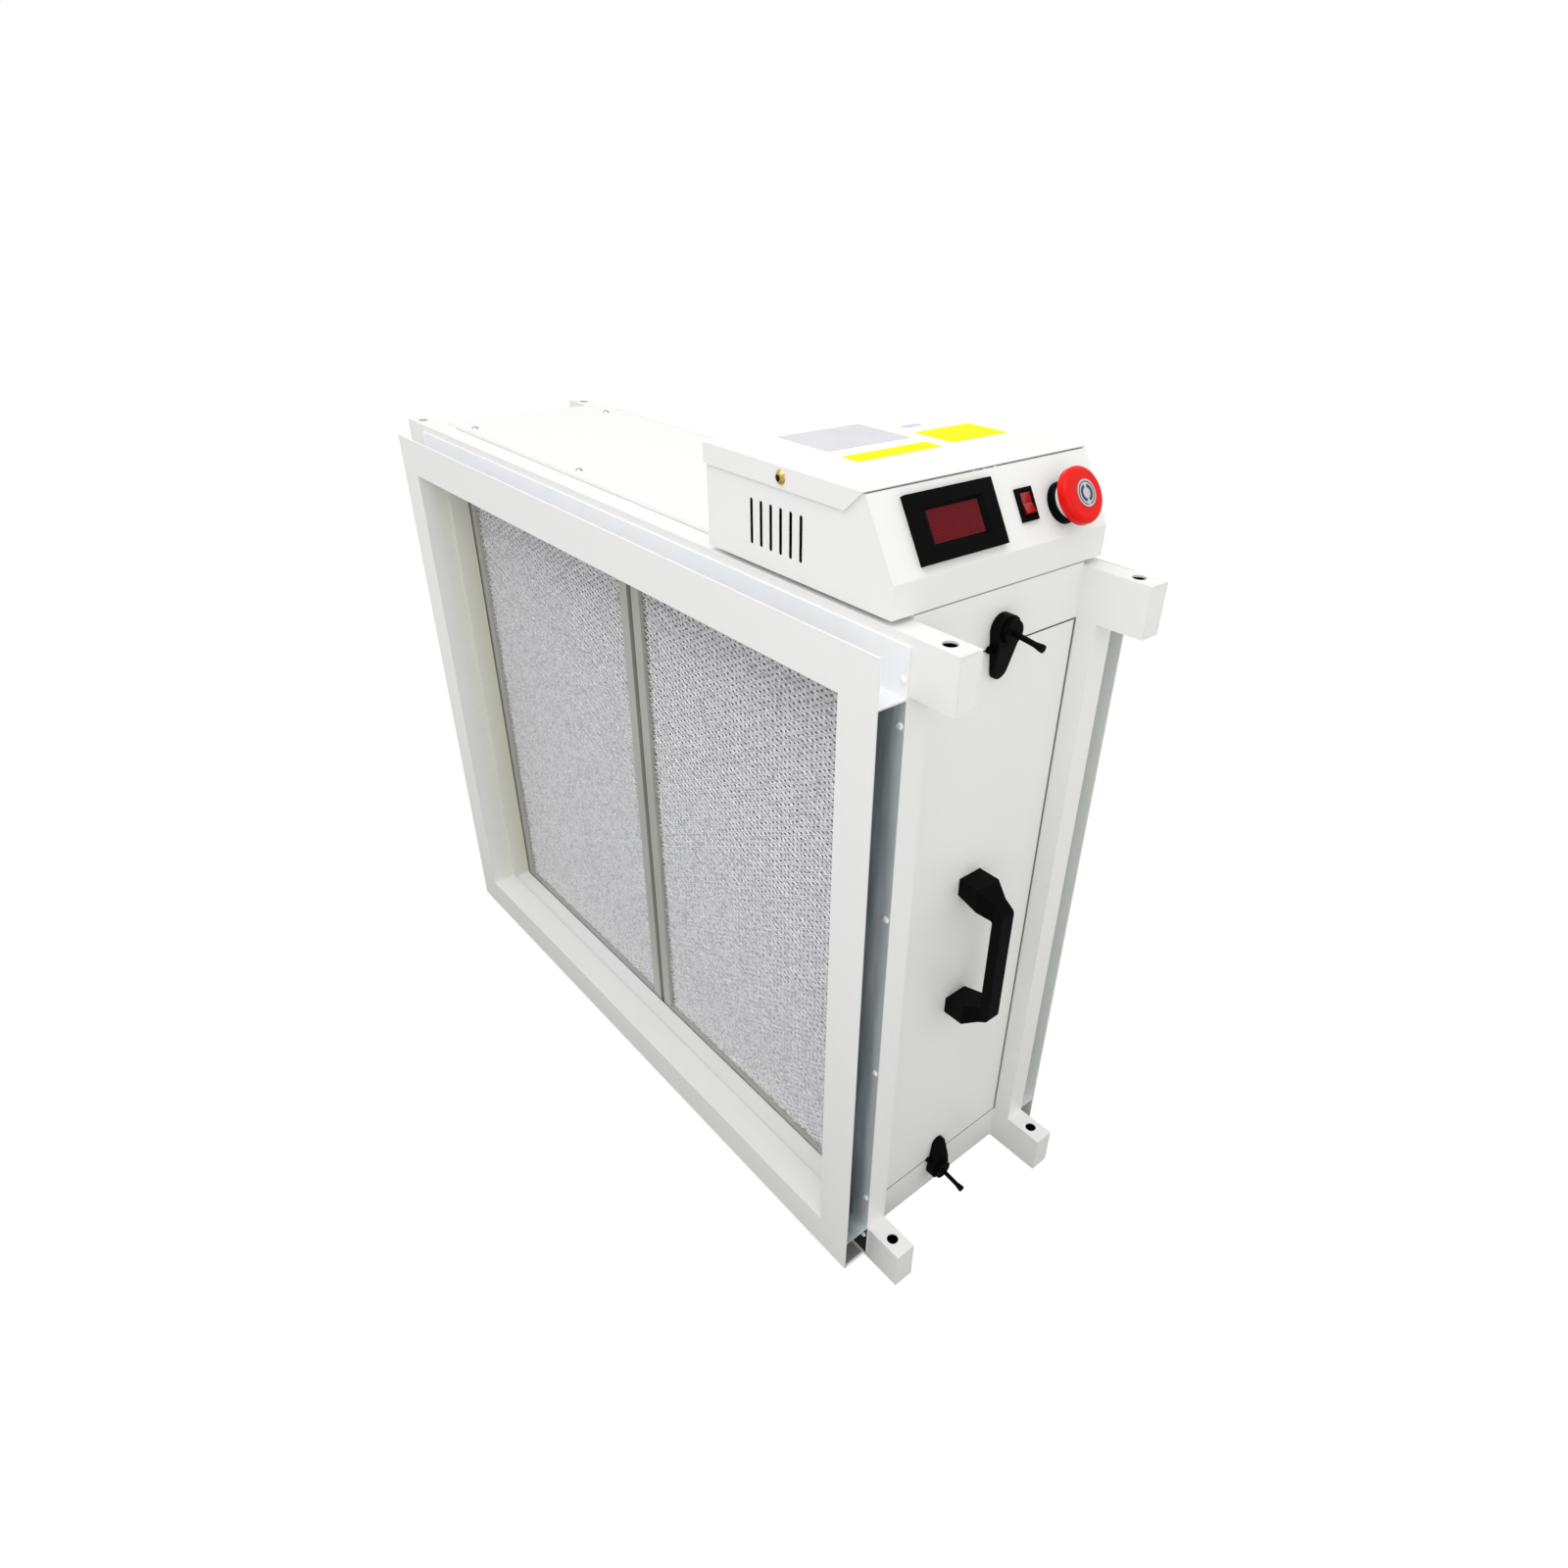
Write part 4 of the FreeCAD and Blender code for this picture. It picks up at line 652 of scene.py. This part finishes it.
def calm_bounce(material, colour):
    """Shows bounced light a duller colour, so that a strong one doesn't tint its neighbours."""
    tree = material.node_tree
    shader = tree.nodes["Principled BSDF"]
    source = shader.inputs["Base Color"].links[0].from_socket
    path = tree.nodes.new("ShaderNodeLightPath")
    seen = mixed(tree, path.outputs["Is Diffuse Ray"], source, with_alpha(colour))
    tree.links.new(seen, shader.inputs["Base Color"])


def plastic_material(name, colour, roughness, coat=0.0, grain_depth=0.0001, specular=0.2):
    """Moulded plastic with a fine grain."""
    material, tree, shader = new_material(name, roughness, 0.0, specular)
    tone = mottled(tree, colour, with_alpha(colour, 0.84), 35.0, 0.35)
    tree.links.new(tone, shader.inputs["Base Color"])
    add_grain(tree, shader, (1600.0, 120.0), 0.25, grain_depth, 0.5)
    shader.inputs["Coat Weight"].default_value = coat
    shader.inputs["Coat Roughness"].default_value = 0.08
    return material


def mesh_material(name, colour):
    """Crushed aluminium mesh: bright crests and darker patches."""
    material, tree, shader = new_material(name, 0.5, 0.4)
    speckle = noise(tree, object_coords(tree), 420.0, 3.0)
    tone = ramp(tree, speckle, (0.34, with_alpha(colour, 0.68)), (0.55, with_alpha(colour, 1.06)))
    tree.links.new(tone, shader.inputs["Base Color"])
    return material


def display_material(name, colour):
    """Dark red window with the fine dots of the display behind it."""
    material, tree, shader = new_material(name, 0.12, 0.0, 0.08)
    dots = tree.nodes.new("ShaderNodeTexVoronoi")
    dots.inputs["Scale"].default_value = 1100.0
    dots.inputs["Randomness"].default_value = 0.35
    tree.links.new(object_coords(tree), dots.inputs["Vector"])
    bright, dim = with_alpha(colour, 1.7), with_alpha(colour, 0.75)
    tone = ramp(tree, dots.outputs["Distance"], (0.12, bright), (0.5, dim))
    tree.links.new(tone, shader.inputs["Base Color"])
    shader.inputs["Coat Weight"].default_value = 0.04
    shader.inputs["Coat Roughness"].default_value = 0.04
    return material


def build_materials(look):
    """Makes each finish, under the name that the pieces know it by."""
    white = look.enamel
    zinc = with_alpha(look.zinc)
    steel, silver = (0.55, 0.55, 0.56), (0.70, 0.71, 0.73)
    pale, paddle = (0.86, 0.86, 0.87), (0.30, 0.005, 0.006)
    foam, potting = (0.03, 0.03, 0.03), (0.05, 0.05, 0.055)
    grey, lilac, ink = (0.66, 0.66, 0.69), (0.62, 0.60, 0.82), (0.06, 0.065, 0.08)
    MATERIALS.update(
        {
            "casing": enamel_material("White enamel", white),
            "collar": enamel_material("White enamel over zinc", white, "Zinc channels", Zinc=zinc),
            "tube": enamel_material("White enamel on tubes", white, "Tube hollow"),
            "box": enamel_material("White enamel on the box", white, "Vent shadow"),
            # The top panel's enamel has the shadow in the gap under the box painted as a thin dark
            # line.
            "seam": enamel_material("White enamel with a seam shadow", white, "Panel seam"),
            "zinc": metal_material("Galvanised sheet", look.zinc, 0.45, 120.0),
            "frame aluminium": metal_material("Prefilter aluminium", look.frame, 0.5, None, 0.3),
            "cell aluminium": metal_material("Cell aluminium", look.aluminium, 0.5),
            "mesh": mesh_material("Crushed mesh", look.aluminium),
            "black plastic": plastic_material("Black plastic", look.black, 0.5, specular=0.04),
            "steel": metal_material("Plated steel", steel, 0.35),
            "pale plastic": plastic_material("Pale plastic", pale, 0.35),
            "red plastic": plastic_material("Red plastic", look.red, 0.28, 0.1, 0.00004, 0.1),
            "paddle red": plastic_material("Paddle red", paddle, 0.2, 0.6, 0.00003),
            "display": display_material("Display window", look.display),
            "silver": metal_material("Satin silver", silver, 0.38),
            "brass": metal_material("Brass", look.brass, 0.28),
            "screw brass": screw_material("Brass with a socket", look.brass),
            "foam": plastic_material("Foam seal", foam, 0.95, 0.0, 0.0006),
            "potting": plastic_material("Potting", potting, 0.5),
            "yellow": plastic_material("Yellow label", look.yellow, 0.6, 0.0, 0.00003, 0.05),
            "grey label": plastic_material("Grey label", grey, 0.5, 0.0, 0.00003),
            "lilac label": plastic_material("Lilac label", lilac, 0.45, 0.1, 0.00003),
            "ink": plastic_material("Dark ink", ink, 0.5, 0.0, 0.00002),
        }
    )
    calm_bounce(MATERIALS["red plastic"], (0.62, 0.50, 0.49))


NODE_FINISH = {
    "casing": (
        "bar_end_plates",
        "post_",
        "cross_rail_",
        "left_panel",
        "bottom_panel",
        "door_panel",
        "box_lid",
        "collar_rivets",
    ),
    "tube": ("bar_front_", "bar_rear_"),
    # The top panel carries the painted shadow line of the gap under the box.
    "seam": ("top_panel",),
    "box": ("power_box",),
    "collar": ("collar_front_", "collar_rear_"),
    "zinc": ("ceiling_panel", "floor_panel"),
    "frame aluminium": ("prefilter_frame_",),
    "cell aluminium": ("cell_frame_", "cell_plates_", "cell_charged_"),
    "mesh": ("prefilter_mesh_",),
    "black plastic": (
        "door_handle",
        "latch_top",
        "latch_bottom",
        "meter_body",
        "rocker_frame",
        "estop_base",
    ),
    "steel": ("handle_screws", "latch_studs", "panel_screws", "ioniser_wires"),
    "pale plastic": ("estop_plunger", "cell_insulators"),
    "red plastic": ("estop_head",),
    "paddle red": ("rocker_paddle",),
    "display": ("meter_window",),
    "silver": ("estop_disc",),
    "brass": ("hv_contacts",),
    "screw brass": ("lid_screws",),
    "foam": ("door_gasket",),
    "potting": ("hv_supply",),
}
SOFTENED = ("casing", "tube", "seam", "box", "collar", "black plastic")


def finish_of(name):
    """The finish of a piece of the casing."""
    for finish, starts in NODE_FINISH.items():
        if name.startswith(starts):
            return finish
    raise RuntimeError("no finish for " + name)


class FILTER_OT_finishes(bpy.types.Operator):
    """Gives every piece of the casing its finish"""

    bl_idname = "filter_unit.finishes"
    bl_label = "Finishes"

    def execute(self, context):
        look = context.scene.filter_finishes
        build_groups()
        build_materials(look)
        for name, node in frame["nodes"].items():
            finish = finish_of(name)
            node.data.materials.clear()
            node.data.materials.append(MATERIALS[finish])
            if finish in SOFTENED:
                soften = node.modifiers.new("Soft edges", "BEVEL")
                soften.width = look.edge
                soften.segments = 2
                soften.limit_method = "ANGLE"
                soften.angle_limit = math.radians(50)
                soften.harden_normals = True
        return {"FINISHED"}


# Pieces


def finish_piece(name, shape, material, body):
    """Makes an object from a bmesh and gives it a finish and a body."""
    mesh = bpy.data.meshes.new(name)
    shape.to_mesh(mesh)
    shape.free()
    piece = bpy.data.objects.new(name, mesh)
    bpy.context.scene.collection.objects.link(piece)
    mesh.materials.append(material)
    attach(piece, body)
    return piece


def repeat(piece, label, offset, count):
    """Repeats a piece in a row."""
    array = piece.modifiers.new(label, "ARRAY")
    array.count = count
    array.use_relative_offset = False
    array.use_constant_offset = True
    array.constant_offset_displace = offset


CRUMPLE_SIZE = 0.009
BACK_LAYER = 0.0017


class FILTER_OT_mesh_panels(bpy.types.Operator):
    """Weaves the expanded mesh of the two prefilters"""

    bl_idname = "filter_unit.mesh_panels"
    bl_label = "Mesh panels"

    def execute(self, context):
        sizes = context.scene.filter_sizes
        clouds = bpy.data.textures.new("Mesh crumple", "CLOUDS")
        clouds.noise_scale = CRUMPLE_SIZE
        clouds.noise_depth = 1
        clouds.cloud_type = "COLOR"
        for side in ("left", "right"):
            node = f"prefilter_mesh_{side}"
            low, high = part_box(node)
            for layer, back in (("front", 0.0), ("back", BACK_LAYER)):
                shape, columns, rows, wide, tall = diamond_pair(sizes, low, high, back)
                name = f"expanded_mesh_{side}_{layer}"
                piece = finish_piece(name, shape, MATERIALS["mesh"], "casing")
                repeat(piece, "Columns", (wide, 0.0, 0.0), columns)
                repeat(piece, "Rows", (0.0, 0.0, tall), rows)
                crumple = piece.modifiers.new("Crumple", "DISPLACE")
                crumple.texture = clouds
                crumple.texture_coords = "LOCAL"
                crumple.direction = "RGB_TO_XYZ"
                crumple.strength = sizes.crumple
                crumple.mid_level = 0.5
                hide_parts(node)
        return {"FINISHED"}


def diamond_pair(sizes, low, high, back):
    """Two staggered rings of strands, each with a raised crest, at the panel's low corner."""
    spill = 0.001
    layer_shift = 0.27
    width = high.x - low.x + 2 * spill
    height = high.z - low.z + 2 * spill
    columns = max(1, round(width / sizes.diamond_width - 0.5))
    rows = max(1, round(height / sizes.diamond_height - 0.5))
    wide = width / (columns + 0.5)
    tall = height / (rows + 0.5)
    strand, rise = sizes.strand, sizes.strand_rise
    turn = Matrix.Rotation(math.radians(90), 3, "X")
    shape = bmesh.new()
    for shift in (0.0, 0.5):
        ring = bmesh.ops.create_circle(shape, cap_ends=True, segments=4, radius=0.5)
        corners = ring["verts"]
        face = [f for f in shape.faces if all(v in corners for v in f.verts)][0]
        bmesh.ops.scale(shape, vec=(wide, tall, 1.0), verts=corners)
        rim = {"faces": [face], "thickness": strand, "use_boundary": True, "use_even_offset": True}
        crest = bmesh.ops.inset_region(shape, depth=rise, **rim)
        inner = bmesh.ops.inset_region(shape, depth=-rise, **rim)
        bmesh.ops.delete(shape, geom=[face], context="FACES_ONLY")
        made = {v for f in crest["faces"] + inner["faces"] for v in f.verts} | set(corners)
        bmesh.ops.rotate(shape, cent=(0, 0, 0), matrix=turn, verts=list(made))
        x = low.x - spill + wide * (0.5 + shift)
        z = low.z - spill + tall * (0.5 + shift)
        bmesh.ops.translate(shape, vec=(x, low.y + rise + back, z), verts=list(made))
    if back:
        bmesh.ops.translate(shape, vec=(wide * layer_shift, 0.0, 0.0), verts=shape.verts)
        columns -= 1
    return shape, columns, rows, wide, tall


# Each plain field on the lid: its name, finish, low corner and high corner.
LID_FIELDS = (
    ("label_yellow_strip", "yellow", (0.2345, -0.0545), (0.2505, 0.0215)),
    ("label_yellow_patch", "yellow", (0.2095, 0.0365), (0.2465, 0.0930)),
    ("label_grey_patch", "grey label", (0.167, -0.0525), (0.219, 0.0225)),
    ("label_small_patch", "lilac label", (0.189, 0.0425), (0.1945, 0.0595)),
)
FIELD_CORNER = 0.0015


class FILTER_OT_lid_labels(bpy.types.Operator):
    """Lays four plain colour fields on the lid"""

    bl_idname = "filter_unit.lid_labels"
    bl_label = "Lid labels"

    def execute(self, context):
        thick = context.scene.filter_sizes.label_thick
        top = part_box("box_lid")[1].z
        for name, finish, low, high in LID_FIELDS:
            shape = bmesh.new()
            bmesh.ops.create_cube(shape, size=1.0)
            span = (high[0] - low[0], high[1] - low[1], thick)
            bmesh.ops.scale(shape, vec=span, verts=shape.verts)
            uprights = [e for e in shape.edges if abs(e.verts[0].co.z - e.verts[1].co.z) > 1e-6]
            bmesh.ops.bevel(
                shape,
                geom=uprights,
                offset=FIELD_CORNER,
                segments=4,
                profile=0.5,
                affect="EDGES",
                material=-1,
            )
            middle = ((low[0] + high[0]) / 2, (low[1] + high[1]) / 2, top + thick / 2)
            bmesh.ops.translate(shape, vec=middle, verts=shape.verts)
            finish_piece(name, shape, MATERIALS[finish], "casing")
        return {"FINISHED"}


def stop_face():
    """Turn, middle and normal of the stop button's plain disc."""
    joint = [j for j in frame["record"]["behaviour"]["joints"] if j["name"] == "stop_turn"][0]
    normal = Vector(joint["axis"]).normalized()
    across = Vector((0.0, 1.0, 0.0))
    turn = Matrix((across.cross(normal), across, normal)).transposed()
    low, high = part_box("estop_disc")
    return turn, (low + high) / 2, normal


# The ring and the turn marks: inner radius, outer radius, first and last degree.
STOP_MARKS = (
    (0.0071, 0.0078, 8, 352),
    (0.0036, 0.0058, 15, 165),
    (0.0036, 0.0058, 195, 345),
)
MARK_LIFT = 0.0005
MARK_THICK = 0.00012


class FILTER_OT_stop_marking(bpy.types.Operator):
    """Adds the ring and the two turn marks on the stop button's disc"""

    bl_idname = "filter_unit.stop_marking"
    bl_label = "Stop button marking"

    def execute(self, context):
        turn, middle, normal = stop_face()
        shape = bmesh.new()
        for inner, outer, start, stop in STOP_MARKS:
            first = Matrix.Rotation(math.radians(start), 3, "Z")
            edge = [shape.verts.new(first @ Vector((reach, 0, 0))) for reach in (inner, outer)]
            line = shape.edges.new(edge)
            bmesh.ops.spin(
                shape,
                geom=edge + [line],
                cent=(0, 0, 0),
                axis=(0, 0, 1),
                angle=math.radians(stop - start),
                steps=max(8, round((stop - start) / 7)),
                use_duplicate=False,
            )
        bmesh.ops.recalc_face_normals(shape, faces=shape.faces)
        bmesh.ops.solidify(shape, geom=shape.faces[:], thickness=MARK_THICK)
        bmesh.ops.recalc_face_normals(shape, faces=shape.faces)
        bmesh.ops.rotate(shape, cent=(0, 0, 0), matrix=turn, verts=shape.verts)
        bmesh.ops.translate(shape, vec=middle + normal * MARK_LIFT, verts=shape.verts)
        finish_piece("stop_disc_marks", shape, MATERIALS["ink"], "stop_head")
        return {"FINISHED"}


# Studio

FLOOR_SIZE = 60.0
FLOOR_NEAR = (0.30, 0.30, 0.30, 1.0)
FLOOR_FAR = (0.74, 0.74, 0.74, 1.0)
FLOOR_FADE = (0.35, 1.4)
FLOOR_GLOW = 1.2
FLOOR_GLOW_SHARE = 0.8
CAMERA_RIGHT = (0.659, 0.7517, 0.0266)
CAMERA_BACK = (0.627, -0.5685, 0.5325)
CAMERA_SHIFT = (-0.0294, 0.0151)


class FILTER_OT_studio(bpy.types.Operator):
    """Sets the floor, the lamps, the sky and the camera"""

    bl_idname = "filter_unit.studio"
    bl_label = "Studio"

    def execute(self, context):
        studio = context.scene.filter_studio
        self.floor()
        self.sky(context, studio)
        self.lamp("Overhead lamp", (0.15, -0.75, 2.1), (0.0, 0.0, 0.3), 1.9, studio.overhead)
        self.lamp("Side lamp", (2.0, -0.9, 0.9), (0.2, 0.0, 0.3), 1.4, studio.side)
        self.camera(context, studio)
        context.scene.view_settings.view_transform = "Standard"
        return {"FINISHED"}

    def floor(self):
        """A wide floor, darker near the unit, that the camera sees as white."""
        shape = bmesh.new()
        bmesh.ops.create_grid(shape, x_segments=1, y_segments=1, size=FLOOR_SIZE)
        mesh = bpy.data.meshes.new("studio_floor")
        shape.to_mesh(mesh)
        shape.free()
        floor = bpy.data.objects.new("studio_floor", mesh)
        bpy.context.scene.collection.objects.link(floor)
        material, tree, shader = new_material("Studio floor", 0.9)
        away = tree.nodes.new("ShaderNodeVectorMath")
        away.operation = "LENGTH"
        tree.links.new(object_coords(tree), away.inputs[0])
        fade = ranged(tree, away.outputs["Value"], *FLOOR_FADE)
        tree.links.new(mixed(tree, fade, FLOOR_NEAR, FLOOR_FAR), shader.inputs["Base Color"])
        glow = tree.nodes.new("ShaderNodeEmission")
        glow.inputs["Color"].default_value = WHITE
        glow.inputs["Strength"].default_value = FLOOR_GLOW
        path = tree.nodes.new("ShaderNodeLightPath")
        share = computed(tree, "MULTIPLY", path.outputs["Is Camera Ray"], self.lit_share(tree))
        mix = tree.nodes.new("ShaderNodeMixShader")
        tree.links.new(share, mix.inputs["Fac"])
        tree.links.new(shader.outputs["BSDF"], mix.inputs[1])
        tree.links.new(glow.outputs["Emission"], mix.inputs[2])
        tree.links.new(mix.outputs["Shader"], tree.nodes["Material Output"].inputs["Surface"])
        mesh.materials.append(material)

    def lit_share(self, tree):
        """How much of the floor glows white: none of it right under the collars."""
        place = object_axes(tree)
        reach = extent("collar_front_right", "X")[1]
        near, far = -extent("collar_front_top", "Y")[1], extent("collar_rear_top", "Y")[1]
        across = computed(tree, "ABSOLUTE", place["X"], 0.0)
        along = computed(tree, "ABSOLUTE", place["Y"], 0.0)
        covered = computed(tree, "GREATER_THAN", along, near)
        lit_edge, dark_edge = 0.002, 0.006
        for value, edge in ((across, reach), (along, far)):
            cover = ranged(tree, value, edge - lit_edge, edge - dark_edge)
            covered = computed(tree, "MULTIPLY", covered, cover)
        return ranged(tree, covered, 0.0, 1.0, FLOOR_GLOW_SHARE, 0.0)

    def sky(self, context, studio):
        """Even light from all round, which the camera sees as white."""
        world = bpy.data.worlds.new("Studio sky")
        context.scene.world = world
        world.use_nodes = True
        tree = world.node_tree
        backdrop = tree.nodes["Background"]
        backdrop.inputs["Color"].default_value = WHITE
        path = tree.nodes.new("ShaderNodeLightPath").outputs
        seen = computed(tree, "MAXIMUM", path["Is Camera Ray"], path["Is Transmission Ray"])
        level = ranged(tree, seen, 0.0, 1.0, studio.sky, 1.0)
        tree.links.new(level, backdrop.inputs["Strength"])

    def lamp(self, name, place, target, size, power):
        """A round soft lamp aimed at a point."""
        data = bpy.data.lights.new(name, "AREA")
        data.shape = "DISK"
        data.size = size
        data.energy = power
        lamp = bpy.data.objects.new(name, data)
        bpy.context.scene.collection.objects.link(lamp)
        lamp.location = place
        aim = Vector(target) - Vector(place)
        lamp.rotation_euler = aim.to_track_quat("-Z", "Y").to_euler()

    def camera(self, context, studio):
        """The camera where the photograph was taken from."""
        data = bpy.data.cameras.new("Camera")
        data.sensor_fit = "HORIZONTAL"
        data.sensor_width = 36.0
        data.lens = studio.lens
        data.shift_x, data.shift_y = CAMERA_SHIFT
        data.clip_start = 0.02
        data.clip_end = 60.0
        camera = bpy.data.objects.new("Camera", data)
        context.scene.collection.objects.link(camera)
        right = Vector(CAMERA_RIGHT).normalized()
        back = Vector(CAMERA_BACK)
        back = (back - right * back.dot(right)).normalized()
        turn = Matrix((right, back.cross(right), back)).transposed().to_4x4()
        camera.matrix_world = Matrix.Translation(studio.camera_at) @ turn
        context.scene.camera = camera


class FILTER_PT_panel(bpy.types.Panel):
    """Lists the steps that dress the unit"""

    bl_idname = "FILTER_PT_panel"
    bl_label = "Filter unit"
    bl_space_type = "VIEW_3D"
    bl_region_type = "UI"
    bl_category = "Filter Unit"

    def draw(self, context):
        layout = self.layout
        for group in ("filter_finishes", "filter_sizes", "filter_studio"):
            settings = getattr(context.scene, group)
            column = layout.column()
            for name in settings.__annotations__:
                column.prop(settings, name)
        for operator in OPERATORS:
            layout.operator(operator.bl_idname)


OPERATORS = (
    FILTER_OT_finishes,
    FILTER_OT_mesh_panels,
    FILTER_OT_lid_labels,
    FILTER_OT_stop_marking,
    FILTER_OT_studio,
)
SETTINGS = {
    "filter_finishes": FILTER_PG_finishes,
    "filter_sizes": FILTER_PG_sizes,
    "filter_studio": FILTER_PG_studio,
}


def register():
    for group in SETTINGS.values():
        bpy.utils.register_class(group)
    for name, group in SETTINGS.items():
        setattr(bpy.types.Scene, name, bpy.props.PointerProperty(type=group))
    for operator in OPERATORS:
        bpy.utils.register_class(operator)
    bpy.utils.register_class(FILTER_PT_panel)


def unregister():
    bpy.utils.unregister_class(FILTER_PT_panel)
    for operator in reversed(OPERATORS):
        bpy.utils.unregister_class(operator)
    for name in SETTINGS:
        delattr(bpy.types.Scene, name)
    for group in reversed(list(SETTINGS.values())):
        bpy.utils.unregister_class(group)


def main():
    register()
    bpy.ops.filter_unit.finishes()
    bpy.ops.filter_unit.mesh_panels()
    bpy.ops.filter_unit.lid_labels()
    bpy.ops.filter_unit.stop_marking()
    bpy.ops.filter_unit.studio()


if __name__ == "__main__":
    main()
